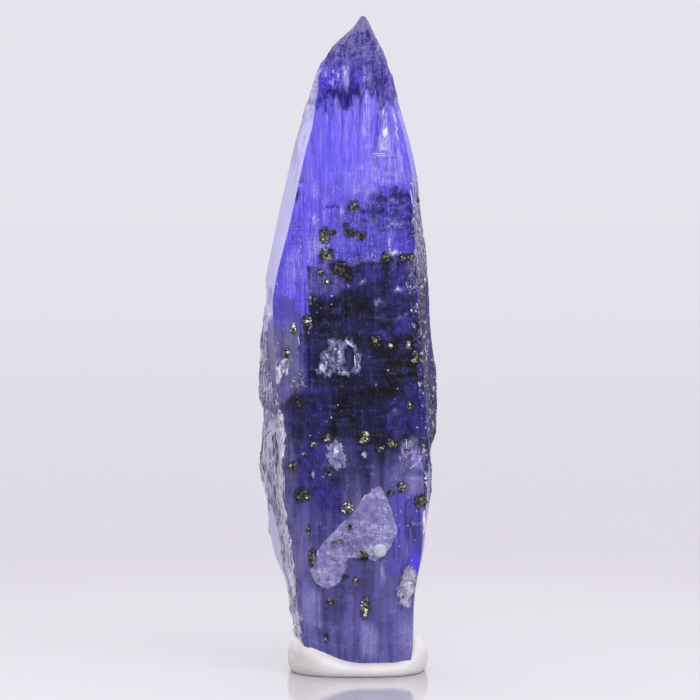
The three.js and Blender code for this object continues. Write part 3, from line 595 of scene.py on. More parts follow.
@dataclass(frozen=True)
class CrystalPattern:
    """Where the crystal is dark, hazy, marked or crusted, as masks from 0 to 1 on its grid."""

    places: Places
    form: CrystalForm
    back_shift: Pair = (0.35, 0.9)  # of the front's marks where the back reads them
    back_strength: float = 0.75
    halo: Pair = (1.25, 0.85)  # the size of a cluster's halo against its own, and its strength
    dark_top: float = 25.72
    dark_left: Outline = Outline((
        (8, -3.6), (14.4, -3.7), (15.2, -4.1), (17, -4.1), (17.9, -3.2), (21.2, -3.0), (22.4, -2.6),
        (25.7, -2.5),
    ), 0.1)
    dark_foot: Outline = Outline((
        (-4, 9.4), (0, 10.2), (2, 12.6), (5, 14.8),
    ), 0.2)
    rope_inner: Outline = Outline((
        (1, -2.85), (3, -3.0), (5, -3.25), (7, -3.5), (9, -3.7), (11, -3.9), (14.5, -4.0), (16, -4.1),
        (17, -4.45), (18, -4.75), (20, -4.9), (22.5, -5.05),
    ), 0.2)
    rope_outer: Outline = Outline((
        (1, -3.35), (3, -3.4), (5, -3.7), (6.5, -4.1), (8, -4.3), (9.5, -4.45), (10.6, -4.8), (11.4, -6),
        (13, -9),
    ), 0.2)
    grain_z: Pair = (12.5, 28.6)
    grain_width: Outline = Outline(((14, 0.4), (20, 0.55), (26, 0.4), (29, 0.1)))
    window_x: Pair = (2.5, 5.4)
    window_z: Pair = (6.6, 11.3)

    def masks(self) -> dict[str, Array]:
        """All masks but the chips'.

        Returns:
            The masks by name.
        """
        masks = {zone.name.lower(): self.marks(zone) for zone in Zone}
        masks["white"] = masks["white"] * (1 - masks["window"])
        masks["ridge"] = smooth_step(-0.5, 0.7, self.places.ridges())
        for method in (self.soot, self.dark, self.low, self.vivid, self.rope, self.facet, self.grain):
            masks[method.__name__] = method()
        return masks

    def marks(self, zone: Zone) -> Array:
        """The strongest of one zone's marks at each place.

        The places are first shifted a little by noise, so that borders are ragged. Where the back face
        has no marks of its own, it reads the front's, turned round, shifted up and weaker.

        Args:
            zone: whose marks.

        Returns:
            The strength, 0 on the narrow sides.
        """
        p = self.places
        fine = 0.15 if zone is Zone.FROST else 1.0
        ragged_x = p.x + 0.06 * fine * p.noise(4, 1, 2.6, 61) + 0.07 * p.noise(1.2, 1, 1.1, 62)
        ragged_z = p.z + 0.16 * fine * p.noise(6, 1, 0.9, 63) + 0.1 * p.noise(1.5, 1, 1.6, 64)
        cover = np.zeros(p.x.shape)
        for facing in (Facing.FRONT, Facing.BACK):
            columns = np.flatnonzero(on_faces(p.side[0], facing))
            across, up = ragged_x[:, columns], ragged_z[:, columns]
            marks, weight = MARKS[zone], 1.0
            if facing is Facing.BACK and zone in BACK_MARKS:
                marks = BACK_MARKS[zone]
            elif facing is Facing.BACK:
                across, up = self.back_shift[0] - across, up - self.back_shift[1]
                weight = self.back_strength
            for mark in marks:
                cover[:, columns] = np.maximum(cover[:, columns], weight * mark.cover(across, up))
        return cover

    def soot(self) -> Array:
        """Dark halos round the clusters of grains on the front.

        Returns:
            The mask.
        """
        p = self.places
        reach, strength = self.halo
        halos = [Mark(x, z, reach * half_x, reach * half_z, strength, squareness=2)
                 for x, z, half_x, half_z, *_ in CLUSTERS]
        return np.max([halo.cover(p.x, p.z) for halo in halos], axis=0) * p.on(Facing.FRONT)

    def dark(self) -> Array:
        """The dark included part: a stepped top, a left border, and a foot that fades downwards.

        Returns:
            The mask.
        """
        p = self.places
        steps = 0.16 * np.round(2.5 * p.noise(1.3, 0, 0, 71)) + 0.3 * (p.x > 2)
        narrow = smooth_step(2.4, 1.4, np.abs(p.y))
        steps = steps + 1.2 * noise(p.y * 1.1, p.x * 0.4, p.z * 0.15, 70) * narrow
        top = 1 - smooth_step(-0.07, 0.07, p.z - self.dark_top - steps)
        limit = self.dark_left.plain(p.z) + 0.4 * p.noise(2.2, 1, 0.6, 72) + 0.15 * p.noise(4, 1, 2, 73)
        soft = 0.08 + 0.5 * smooth_step(22.5, 20.5, p.z)
        left = smooth_step(-soft, soft, p.x - limit)
        drips = 1.3 * p.noise(0.7, 0.5, 0.2, 74) + 1.1 * p.noise(3.4, 1, 0.15, 75)
        return top * left * smooth_step(-1.7, 1.7, p.z + drips - self.dark_foot.plain(p.x))

    def low(self) -> Array:
        """The duller foot, which reaches higher up along the left.

        Returns:
            The mask.
        """
        p = self.places
        height = p.z + (0.9 * p.noise(0.8, 1, 0.3, 76) + 0.6 * p.noise(3.2, 1, 0.2, 77))
        left = smooth_step(-2.6, -3.2, p.x) * smooth_step(22.6, 20.4, height)
        return np.maximum(smooth_step(16.5, 13.2, height), left)

    def vivid(self) -> Array:
        """The clear blue window low on the right.

        Returns:
            The mask.
        """
        p = self.places
        x = p.x + 0.25 * p.noise(1, 0, 0.8, 78)
        inside = within(*self.window_x, x, 0.35) * within(*self.window_z, p.z, 0.4)
        return inside * p.on(Facing.FRONT, Facing.BACK)

    def rope(self) -> Array:
        """The splintered left side: from the silhouette to a wavy inner limit that crosses the front's edge.

        Returns:
            The mask.
        """
        p = self.places
        flat = 0 * p.y
        drips = 1.6 * noise(p.y * 1.3, flat, p.z * 0.25, 83) + noise(p.y * 3.5, flat, p.z * 0.3, 84)
        wavy = 0.16 * p.noise(0, 0, 0.9, 89) + 0.08 * p.noise(0, 0, 2.6, 90)
        outer, inner = self.rope_outer.at(p.z), self.rope_inner.at(p.z)
        band = smooth_step(-0.08, 0.08, p.x - outer - wavy) * smooth_step(0.14, -0.14, p.x - inner - wavy)
        front = np.isin(p.side, (Side.LEFT_FRONT.value, Side.FRONT_LEFT.value))
        back = smooth_step(0.0, 0.7, p.share + 0.3 * noise(p.y * 1.5, flat, p.z * 0.5, 85))
        back = back * within(1.2, 21.8, p.z + drips, 1.5) * (p.side == Side.LEFT_BACK.value)
        return np.maximum(front * band * smooth_step(23.2, 21.2, p.z + 0.6 * drips), back)

    def facet(self) -> Array:
        """The smooth pale face on the left above the splinters, and the small ones outside them below.

        Returns:
            The mask, which grows from 0.5 at the outer edge to 1 at the front edge.
        """
        p = self.places
        drips = 1.2 * noise(p.y * 1.6, 0 * p.y, p.z * 0.3, 86)
        upper = within(22.6, 37, p.z + drips, 0.8) * (0.5 + 0.5 * p.share)
        lower = smooth_step(0.08, -0.12, p.x - self.rope_outer.at(p.z) - 0.1 * p.noise(0, 0, 0.9, 89))
        lower = lower * (0.6 * within(5.4, 11.2, p.z, 0.5) + 0.3 * within(1, 4.4, p.z, 0.5))
        return (p.side == Side.LEFT_FRONT.value) * (upper + lower)

    def grain(self) -> Array:
        """The granular right side, and the strip of the front next to it.

        Returns:
            The mask.
        """
        p = self.places
        inwards = p.x - self.form.front_right.at(p.z) + self.grain_width.plain(p.z)
        strip = p.on(Facing.FRONT) * smooth_step(-0.15, 0.15, inwards + 0.3 * p.noise(1.5, 1, 0.9, 79))
        drips = 2.2 * p.noise(0.4, 1.1, 0.35, 87) + 1.4 * p.noise(1, 2.8, 0.8, 88)
        return np.maximum(strip, p.on(Facing.RIGHT)) * within(*self.grain_z, p.z + drips, 2.2)


@dataclass(frozen=True)
class Plate:
    """A raised growth plate: its x and z ranges and its rise, in millimetres."""

    x: Pair
    z: Pair
    rise: float
    facing: Facing = Facing.FRONT


@dataclass(frozen=True)
class Chip:
    """A conchoidal chip: the sphere that scoops it, in millimetres."""

    centre: Triple
    radius: float


@dataclass(frozen=True)
class CrystalRelief:
    """What stands out of the crystal's plain sides, in millimetres."""

    places: Places
    masks: dict[str, Array]
    plates: tuple[Plate, ...] = (
        Plate((-2.55, 5.2), (14.6, 25.7), 0.12),
        Plate((-1.85, 5), (0, 9.4), 0.16),
        Plate((-1.85, 0.1), (2.1, 5), 0.06),
        Plate((-2.3, 1.4), (10.2, 13.1), 0.07),
        Plate((1.2, 5.2), (26.6, 28.3), 0.09),
        Plate((-5.2, 1.3), (7.2, 19.8), 0.22, Facing.BACK),
        Plate((-0.6, 5), (16.2, 29.4), 0.18, Facing.BACK),
    )
    plate_edge: float = 0.12
    plate_jitter: float = 0.28
    plate_strip: Pair = (0.42, 1.3)  # the steps across and up in which a plate's ends jitter
    laths: int = 90  # narrow growth steps on each broad face
    lath_seed: int = 11
    lath_raised: float = 0.68  # the share of them that is raised, not sunk
    stria_height: float = 0.055
    striated: Pair = (1.5, 36.5)
    etched_from: float = 36.3
    etch_height: float = 0.16
    hillock_x: float = 2.15
    hillock_z: Pair = (32.3, 35.5)
    hillock_half_width: float = 0.7
    hillock_steps: int = 4
    hillock_step: float = 0.085
    chips: tuple[Chip, ...] = (
        Chip((7.1, -5.0, 34.6), 5.28),
        Chip((7.85, -4.7, 32.5), 5.22),
        Chip((-6, -1.9, 23.4), 1.4),
        Chip((-5.85, -1.95, 16), 1.45),
        Chip((6.25, 0.2, 13.6), 1.3),
        Chip((5.35, -4.15, 13.9), 1.7),
        Chip((-1.75, -0.9, 38.6), 0.85),
        Chip((3.9, 3.6, 27.5), 1.7),
        Chip((-4.6, 3.9, 12.4), 1.9),
    )

    def rise(self) -> Array:
        """How far all relief lifts each place."""
        return (self.plate_rise() + self.lath_rise() + self.striae() + self.hillock() + self.etching()
                + self.bands() + self.growths())

    def plate_rise(self) -> Array:
        """How far the growth plates lift the broad faces.

        Each plate is a box in x and z that rises slowly from its foot and ends in a ragged step at the
        top: the ends shift by a random amount for each narrow strip of the face.

        Returns:
            The rise at each place.
        """
        p = self.places
        steps = zip((p.x, p.z), self.plate_strip)
        strip, row = (np.floor(axis / step).astype(np.int64) for axis, step in steps)
        rise = np.zeros(p.x.shape)
        for number, plate in enumerate(self.plates):
            shift_z = self.plate_jitter * (lattice_value(strip, strip * 0, strip * 0, number) - 0.5)
            shift_x = self.plate_jitter * (lattice_value(row, row * 0, row * 0, number + 40) - 0.5)
            inside = within(*plate.x, p.x + shift_x, self.plate_edge)
            low, high = plate.z
            fade = smooth_step(low - 0.1, low + 0.45 * (high - low), p.z)
            inside = inside * fade * (1 - smooth_step(high, high + self.plate_edge, p.z + shift_z))
            rise += plate.rise * inside * p.on(plate.facing)
        return rise

    def lath_rise(self) -> Array:
        """How far narrow growth steps lift the broad faces: random tall boxes, some sunk, with crisp ends.

        Returns:
            The rise at each place.
        """
        p, draw = self.places, np.random.default_rng(self.lath_seed)
        rise = np.zeros(p.x.shape)
        for facing in (Facing.FRONT, Facing.BACK):
            on_face = p.on(facing)
            for _ in range(self.laths):
                middle_x, low_z = draw.uniform(-4.6, 4.8), draw.uniform(-1, 33)
                half, length = draw.uniform(0.1, 0.5), draw.uniform(1.2, 8)
                height = draw.uniform(0.02, 0.07) * (1 if draw.uniform() < self.lath_raised else -1)
                lean = draw.uniform(-0.02, 0.02)
                across = np.abs(p.x - middle_x - lean * (p.z - low_z))
                box = (1 - smooth_step(half, half + 0.08, across)) * within(low_z, low_z + length, p.z, 0.1)
                rise += height * box * on_face
        return rise

    def striae(self) -> Array:
        """Fine ridges and grooves that run up the broad faces: noise much longer in z than across.

        Returns:
            The rise at each place.
        """
        p = self.places
        coarse, medium = p.noise(1.25, 0.4, 0.05, 3), p.noise(2.7, 0.5, 0.11, 4)
        height = self.stria_height * (1.1 * coarse + 0.8 * medium + 0.55 * p.noise(4.6, 0.5, 0.3, 5))
        return height * p.on(Facing.FRONT, Facing.BACK) * within(*self.striated, p.z, 2)

    def hillock(self) -> Array:
        """The growth hillock: nested steps, square at the bottom and narrowing upwards.

        Returns:
            The rise at each place.
        """
        p = self.places
        low, high = self.hillock_z
        rise = np.zeros(p.x.shape)
        for step in range(self.hillock_steps):
            share = step / self.hillock_steps
            top = high - share * (high - low) * 0.55
            taper = np.clip((top - p.z) / (top - low), 0, 1) ** 0.6
            half = self.hillock_half_width * (1 - 0.62 * share) * taper
            inside = 1 - smooth_step(half, half + 0.07, np.abs(p.x - self.hillock_x + 0.12 * share))
            rise += self.hillock_step * inside * smooth_step(low, low + 0.1, p.z - 0.35 * share)
        return rise * p.on(Facing.FRONT)

    def etching(self) -> Array:
        """The tip's etched lumps, whose lower border runs down in points between the striae.

        Returns:
            The rise at each place.
        """
        p = self.places
        border = self.etched_from + 0.9 * p.noise(1.6, 0.6, 0.1, 21) - 0.5 * np.abs(p.x - 1)
        mask = smooth_step(border - 0.5, border + 0.6, p.z) * np.clip((TIP_Z - p.z) / 2.5, 0, 1)
        ribs = 0.5 - np.abs(p.noise(3.6, 3.6, 1.3, 25))
        return self.etch_height * mask * (0.9 * p.layers(1.5, 1.5, 1.1, 22) + 0.5 * ribs)

    def bands(self) -> Array:
        """The splintered left side's ridges and flakes, and the right side's grains on a gentle swell.

        Returns:
            The rise at each place.
        """
        p = self.places
        splinters = 0.2 * p.ridges() + 0.16 * p.layers(1.4, 2.4, 0.85, 33) - 0.04
        grains = 0.07 * p.layers(2.6, 2.6, 2.2, 36)
        swell = 0.12 * p.noise(0.4, 0.7, 0.45, 38) * np.sin(np.pi * p.share)
        return self.masks["rope"] * splinters + self.masks["grain"] * (grains + swell)

    def growths(self) -> Array:
        """Crusts and frosted patches stand proud in small terraces, and dark marks and windows are sunk.

        Returns:
            The rise at each place.
        """
        p, masks = self.places, self.masks
        blocks = np.round(3 * p.noise(1.9, 1, 1.7, 81)) / 3
        crumbs = p.layers(3.2, 3.2, 3.0, 82, 2)
        crust = masks["white"] * (0.13 + 0.09 * blocks + 0.07 * crumbs)
        frost = masks["frost"] * (0.05 + 0.025 * blocks + 0.03 * crumbs)
        return crust + frost - 0.16 * masks["window"] - 0.035 * masks["indigo"] + 0.03 * masks["pale"]

    def scoop(self, points: Array) -> tuple[Array, Array]:
        """Presses the surface back to each chip's sphere, with faint ripples round its middle.

        Args:
            points: the grid's points, of shape (rows, columns, 3).

        Returns:
            The scooped points, and a mask that is 1 in the chips, of shape (rows, columns).
        """
        scooped = np.zeros(points.shape[:2])
        for number, chip in enumerate(self.chips):
            ray = points - np.array(chip.centre)
            distance = np.linalg.norm(ray, axis=-1)
            uneven = layered_noise(*(points[..., axis] * 0.9 for axis in range(3)), 50 + number)
            radius = chip.radius + 0.13 * uneven
            ripple = 0.03 * np.abs(np.sin(points[..., 2] * 4 + points[..., 0] * 3 + 3 * uneven))
            inside = distance < radius
            pushed = chip.centre + ray * ((radius + ripple) / np.maximum(distance, 1e-6))[..., None]
            points = np.where(inside[..., None], pushed, points)
            scooped = np.maximum(scooped, inside)
        return points, scooped


@dataclass
class CrystalSurface:
    """The crystal's whole surface as a grid of points, with a normal and masks at each point."""

    form: CrystalForm = CrystalForm()
    columns: tuple[int, ...] = (80, 52, 24, 20, 32, 44, 20, 26)  # across each side
    rows: int = 318
    tip_gap: float = 0.06  # from the top row to the tip

    def __post_init__(self) -> None:
        """Works out the grid: the plain section, pushed outwards by the relief, then scooped."""
        form, z = self.form, np.linspace(self.form.foot_z, TIP_Z - self.tip_gap, self.rows)
        self.side = np.repeat(np.arange(len(self.columns)), self.columns)
        share = np.concatenate([np.arange(count) / count for count in self.columns])
        corners = form.corners(z)
        start, end = corners[:, self.side], corners[:, (self.side + 1) % len(self.columns)]
        plain = start + (end - start) * share[:, None]
        along = (end - start) / np.linalg.norm(end - start, axis=-1, keepdims=True)
        normal = np.stack((along[..., 1], -along[..., 0]), axis=-1)
        places = Places(*np.broadcast_arrays(self.side, share, plain[..., 0], plain[..., 1], z[:, None]))
        self.masks = CrystalPattern(places, form).masks()
        relief = CrystalRelief(places, self.masks)
        flat = plain + normal * relief.rise()[..., None]
        near_foot = np.clip(1 - places.z / form.foot_blend_z, 0, 1)
        height = places.z + (form.foot_height(flat[..., 0]) - form.foot_z) * near_foot
        points = np.concatenate((flat, height[..., None]), axis=-1)
        self.points, self.masks["chip"] = relief.scoop(points)
        self.normals = self._normals()

    def _normals(self) -> Array:
        """Outward unit normals, from the cross product of the grid's two directions.

        Returns:
            The normals, of shape (rows, columns, 3).
        """
        across = np.roll(self.points, -1, axis=1) - np.roll(self.points, 1, axis=1)
        up = np.gradient(self.points, axis=0)
        normals = np.cross(across, up)
        return normals / np.maximum(np.linalg.norm(normals, axis=-1, keepdims=True), 1e-9)

    def mesh(self) -> Mesh:
        """The grid row by row, closed at the middle of the foot and at the tip.

        Returns:
            The mesh.
        """
        foot = self.points[0].mean(axis=0)
        tip = np.append(self.points[-1, :, :2].mean(axis=0), TIP_Z)
        vertices = np.concatenate((self.points.reshape(-1, 3), foot[None], tip[None]))
        return mesh_from_arrays("tanzanite", vertices, *ring_faces(self.rows, len(self.side)))

    def anchors(self, x: Array, z: Array) -> tuple[Array, Array]:
        """The surface points of the front over some places, and the normals there.

        Args:
            x, z: the places, in millimetres.

        Returns:
            The nearest grid points and their outward normals, each of shape (n, 3).
        """
        front = on_faces(self.side, Facing.FRONT)
        points, normals = (grid[:, front].reshape(-1, 3) for grid in (self.points, self.normals))
        nearest = [np.argmin((points[:, 0] - across) ** 2 + (points[:, 2] - up) ** 2)
                   for across, up in zip(x, z)]
        return points[nearest], normals[nearest]

    def scatter(self, count: int, weight: Array, draw: Draw) -> tuple[Array, Array]:
        """Random surface points and their normals, crowded where a weight is high.

        Args:
            count: how many.
            weight: how likely each grid point is, of shape (rows, columns).
            draw: the random numbers.

        Returns:
            The points and the normals, each of shape (count, 3).
        """
        chance = weight.ravel() / weight.sum()
        picked = draw.choice(chance.size, count, p=chance)
        return self.points.reshape(-1, 3)[picked], self.normals.reshape(-1, 3)[picked]

    def patchy(self, facings: tuple[Facing, ...], z: Pair, seed: int) -> Array:
        """A weight for scattering: islands of a coarse noise, on some faces, between two heights.

        Args:
            facings: the faces.
            z: the two heights.
            seed: chooses the islands.

        Returns:
            The weight, of shape (rows, columns).
        """
        x, y, height = (self.points[..., axis] for axis in range(3))
        islands = smooth_step(0.05, 0.5, layered_noise(x * 0.7, y * 0.7, height * 0.5, seed)) + 0.04
        return islands * on_faces(self.side, *facings) * within(*z, height, 1.0)


# ---------------------------------------------------------------- meshes


def mesh_from_arrays(name: str, vertices: Array, *face_sets: Array) -> Mesh:
    """A mesh from arrays of points in millimetres and faces.

    Args:
        name: the mesh's name.
        vertices: the points, of shape (n, 3), in millimetres.
        face_sets: arrays of vertex numbers, each of shape (faces, corners).

    Returns:
        The new mesh, in metres.
    """
    mesh = bpy.data.meshes.new(name)
    sizes = np.concatenate([np.full(len(faces), faces.shape[1]) for faces in face_sets])
    loops = np.concatenate([faces.ravel() for faces in face_sets])
    mesh.vertices.add(len(vertices))
    mesh.vertices.foreach_set("co", (vertices * MM).astype(np.float32).ravel())
    mesh.loops.add(len(loops))
    mesh.loops.foreach_set("vertex_index", loops.astype(np.int32))
    mesh.polygons.add(len(sizes))
    mesh.polygons.foreach_set("loop_start", np.concatenate(([0], np.cumsum(sizes)[:-1])).astype(np.int32))
    mesh.polygons.foreach_set("loop_total", sizes.astype(np.int32))
    mesh.update(calc_edges=True)
    mesh.validate()
    return mesh


def ring_faces(rows: int, wide: int) -> tuple[Array, Array]:
    """The faces of rings of points stacked row by row, seen from outside.

    Args:
        rows: how many rings.
        wide: the points in each.

    Returns:
        The quads between the rings, and the triangles that close the first ring and then the last one,
        round two more points after the rings'.
    """
    ring = np.arange(wide)
    ahead, row = (ring + 1) % wide, np.arange(rows - 1)[:, None] * wide
    quads = np.stack((row + ring, row + ahead, row + wide + ahead, row + wide + ring), axis=-1)
    last, hub = (rows - 1) * wide, np.full(wide, rows * wide)
    fans = np.stack((hub, ahead, ring), axis=-1), np.stack((hub + 1, last + ring, last + ahead), axis=-1)
    return quads.reshape(-1, 4), np.concatenate(fans)


def flipped(faces: Array) -> Array:
    """The same faces seen from the other side, each from the same first point."""
    return np.roll(faces[:, ::-1], 1, axis=1)


def paint(mesh: Mesh, name: str, *channels: Array) -> None:
    """Adds a colour attribute to a mesh.

    Args:
        mesh: the mesh.
        name: the attribute's name.
        channels: the red, green and blue at each vertex.
    """
    colours = np.stack((*channels, np.ones_like(channels[0])), axis=-1)
    layer = mesh.color_attributes.new(name, "FLOAT_COLOR", "POINT")
    layer.data.foreach_set("color", colours.astype(np.float32).ravel())


def new_piece(mesh: Mesh, material: Material,
              sharp_degrees: float = 0) -> Object:
    """Puts a mesh into the scene as a piece that rides on the root body.

    Args:
        mesh: the piece's mesh, in place.
        material: its finish.
        sharp_degrees: edges bent by more than this stay sharp, and 0 shades every face flat.

    Returns:
        The new object, at the origin.
    """
    piece = bpy.data.objects.new(mesh.name, mesh)
    bpy.context.scene.collection.objects.link(piece)
    mesh.materials.append(material)
    if sharp_degrees > 0:
        mesh.shade_smooth()
        mesh.set_sharp_from_angle(angle=math.radians(sharp_degrees))
    else:
        mesh.shade_flat()
    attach(piece, BODY)
    LOG.info("%s: %d faces", piece.name, len(mesh.polygons))
    return piece


def lump(columns: int, rows: int, squareness: float) -> Shape:
    """A closed lump of radius 1: a superellipsoid, from an octahedron-like to a box-like form.

    A point at longitude u and latitude v is (cos u cos v, sin u cos v, sin v), with each sine and
    cosine raised to the power of squareness with its sign kept.

    Args:
        columns, rows: the grid's size round and up.
        squareness: 1 gives a sphere, near 0 a box, and 2 an octahedron.

    Returns:
        The points, the quads and the triangles round the two poles.
    """
    def power(value: Array) -> Array:
        """The value to the power of squareness, with its sign kept."""
        return np.sign(value) * np.abs(value) ** squareness

    u = (np.arange(columns) + 0.5) / columns * 2 * np.pi
    v = (np.arange(1, rows) / rows - 0.5) * np.pi
    v, u = np.meshgrid(v, u, indexing="ij")
    grid = np.stack((power(np.cos(u)) * power(np.cos(v)), power(np.sin(u)) * power(np.cos(v)),
                     power(np.sin(v))), axis=-1).reshape(-1, 3)
    poles = np.array(((0, 0, -1), (0, 0, 1)), float)
    return np.concatenate((grid, poles)), *ring_faces(rows - 1, columns)


def aligned_frames(normals: Array, along: Array) -> Array:
    """Turns that lay copies on a surface: their Z along the normal, and their X near a given direction.

    Args:
        normals: the normals, of shape (n, 3).
        along: the directions, of shape (n, 3).

    Returns:
        Rotation matrices whose columns are the copy's axes, of shape (n, 3, 3).
    """
    z_axis = normals / np.linalg.norm(normals, axis=-1, keepdims=True)
    x_axis = along - (along * z_axis).sum(-1, keepdims=True) * z_axis
    x_axis /= np.linalg.norm(x_axis, axis=-1, keepdims=True)
    return np.stack((x_axis, np.cross(z_axis, x_axis), z_axis), axis=-1)


def tumbled_frames(normals: Array, draw: Draw, tumble: float) -> Array:
    """Turns that lay copies on a surface, spun at random and tipped a little.

    Args:
        normals: outward normals, of shape (n, 3).
        draw: the random numbers.
        tumble: how far a copy may tip, as a share of a free fall of its axes.

    Returns:
        Rotation matrices, of shape (n, 3, 3).
    """
    tipped = normals + tumble * draw.normal(size=normals.shape)
    return aligned_frames(tipped, np.cross(draw.normal(size=normals.shape), tipped))


def leaning(turn: Array) -> Array:
    """Directions in the front's plane, at angles in radians up from +X."""
    return np.stack((np.cos(turn), 0 * turn, np.sin(turn)), axis=-1)


def joined_copies(name: str, shape: Shape, places: Array, sizes: Array,
                  turns: Array) -> Mesh:
    """One mesh of many copies of a lump, each stretched, turned and moved to its place.

    Args:
        name: the mesh's name.
        shape: the lump's points, quads and triangles.
        places: the copies' middles, of shape (n, 3).
        sizes: the copies' half sizes along their own axes, of shape (n, 3).
        turns: the copies' rotation matrices, of shape (n, 3, 3).

    Returns:
        The joined mesh.
    """
    points, quads, triangles = shape
    copies = np.einsum("nij,npj->npi", turns, points[None] * sizes[:, None]) + places[:, None]
    offsets = (np.arange(len(places)) * len(points))[:, None, None]
    return mesh_from_arrays(name, copies.reshape(-1, 3), (quads[None] + offsets).reshape(-1, 4),
                            (triangles[None] + offsets).reshape(-1, 3))


# ---------------------------------------------------------------- shader expressions


class Value:
    """One number socket of a shader, with Python's arithmetic: each expression adds its Math nodes."""

    def __init__(self, shader: Shader, socket: Socket) -> None:
        """Keeps the node tree's builder and the output that holds the number."""
        self.shader = shader
        self.socket = socket

    def _math(self, operation: str, *others: Value | float, clamp: bool = False) -> Value:
        """The result of one Math node on this value and the others."""
        inputs = dict(enumerate((self, *others)))
        return self.shader.value("ShaderNodeMath", {"operation": operation, "use_clamp": clamp}, inputs)

    def __add__(self, other: Value | float) -> Value:
        """The sum."""
        return self._math("ADD", other)

    __radd__ = __add__

    def __mul__(self, other: Value | float) -> Value:
        """The product."""
        return self._math("MULTIPLY", other)

    __rmul__ = __mul__

    def __sub__(self, other: Value | float) -> Value:
        """The difference."""
        return self._math("SUBTRACT", other)

    def __rsub__(self, other: float) -> Value:
        """A number less this value."""
        return self * -1.0 + other

    def __pow__(self, other: Value | float) -> Value:
        """This value to a power."""
        return self._math("POWER", other)

    def __abs__(self) -> Value:
        """The size without its sign."""
        return self._math("ABSOLUTE")

    def clamp(self) -> Value:
        """The value held between 0 and 1."""
        return self._math("ADD", 0.0, clamp=True)

    def highest(self, *others: Value | float) -> Value:
        """The largest of this value and the others.

        Args:
            others: values or numbers.

        Returns:
            The largest.
        """
        largest = self
        for other in others:
            largest = largest._math("MAXIMUM", other)
        return largest

    def rise(self, low: float, high: float) -> Value:
        """0 below low, 1 above high, and a smooth rise between them, or a fall where high is the lower."""
        return self.shader.value("ShaderNodeMapRange", {"interpolation_type": "SMOOTHSTEP"},
                                 {"Value": self, "From Min": low, "From Max": high})


class Shader:
    """Builds one node tree. Colours and vectors are passed as plain output sockets."""

    def __init__(self, owner: Material | bpy.types.World) -> None:
        """Empties the node tree of a new material or world.

        Args:
            owner: the material or world.
        """
        self.owner = owner
        owner.use_nodes = True
        self.tree = owner.node_tree
        self.tree.nodes.clear()

    def node(self, kind: str, settings: dict[str, object], inputs: dict[int | str, object]) -> bpy.types.Node:
        """Adds a node, sets it, and fills its sockets.

        Args:
            kind: the node's type name.
            settings: its own settings, set before the sockets are filled.
            inputs: socket name or number to a value, a link or a Value.

        Returns:
            The node.
        """
        node = self.tree.nodes.new(kind)
        for key, setting in settings.items():
            setattr(node, key, setting)
        for key, given in inputs.items():
            source = given.socket if isinstance(given, Value) else given
            if isinstance(source, Socket):
                self.tree.links.new(source, node.inputs[key])
            else:
                node.inputs[key].default_value = source
        return node

    def value(self, kind: str, settings: dict[str, object], inputs: dict[int | str, object],
              output: int | str = 0) -> Value:
        """One number output of a new node."""
        return Value(self, self.node(kind, settings, inputs).outputs[output])

    def place(self) -> Socket:
        """Object coordinates in millimetres."""
        coordinates = self.node("ShaderNodeTexCoord", {}, {}).outputs["Object"]
        return self.stretched(coordinates, (1 / MM,) * 3)

    def stretched(self, vector: Socket, by: Triple) -> Socket:
        """A vector multiplied along each axis."""
        return self.node("ShaderNodeVectorMath", {"operation": "MULTIPLY"}, {0: vector, 1: by}).outputs[0]

    def axes(self, vector: Socket) -> tuple[Value, Value, Value]:
        """A vector's three numbers."""
        split = self.node("ShaderNodeSeparateXYZ", {}, {0: vector})
        return tuple(Value(self, output) for output in split.outputs)

    def grain(self, vector: Socket, by: Triple, detail: float = 2,
              roughness: float = 0.55, shift: float = 0) -> Value:
        """Noise from 0 to 1 about a half.

        Args:
            vector: the place, in millimetres.
            by: grains to the millimetre along each axis.
            detail: finer layers.
            roughness: how strong the finer layers are.
            shift: distortion of the pattern.

        Returns:
            The noise.
        """
        settings = {"noise_dimensions": "3D", "normalize": True}
        inputs = {"Vector": self.stretched(vector, by), "Scale": 1.0, "Detail": float(detail),
                  "Roughness": roughness, "Distortion": float(shift)}
        return self.value("ShaderNodeTexNoise", settings, inputs, "Fac")

    def attribute(self, name: str) -> tuple[Value, Value, Value]:
        """The three numbers of one of the piece's own colour attributes.

        Args:
            name: the attribute's name.

        Returns:
            The numbers.
        """
        colour = self.node("ShaderNodeAttribute", {"attribute_name": name}, {}).outputs["Color"]
        split = self.node("ShaderNodeSeparateColor", {}, {0: colour})
        return tuple(Value(self, output) for output in split.outputs)

    def layered(self, colour: Colour | Socket,
                *layers: tuple[Value | float, Colour | Socket]) -> Socket:
        """A colour with further ones laid over it in turn.

        Args:
            colour: the lowest colour, or its socket.
            layers: how much of each further one covers what is below it, from 0 to 1, and that colour.

        Returns:
            The colour's socket.
        """
        settings = {"data_type": "RGBA", "blend_type": "MIX", "clamp_factor": True}
        for share, over in layers:
            colour = self.node("ShaderNodeMix", settings, {0: share, 6: colour, 7: over}).outputs[2]
        return colour

    def bumped(self, height: Value, distance: float) -> Socket:
        """A normal from a height, where 1 stands for a distance in millimetres."""
        inputs = {"Height": height, "Distance": distance * MM, "Strength": 1.0}
        return self.node("ShaderNodeBump", {}, inputs).outputs[0]

    def principled(self, inputs: dict[str, object]) -> Socket:
        """A Principled shader with the given sockets."""
        return self.node("ShaderNodeBsdfPrincipled", {}, inputs).outputs[0]

    def finish(self, **shaders: Socket) -> Material:
        """Links the output's surface, and its volume if it has one, and gives the material."""
        self.node("ShaderNodeOutputMaterial", {}, {name.title(): shader for name, shader in shaders.items()})
        return self.owner


# ---------------------------------------------------------------- finishes


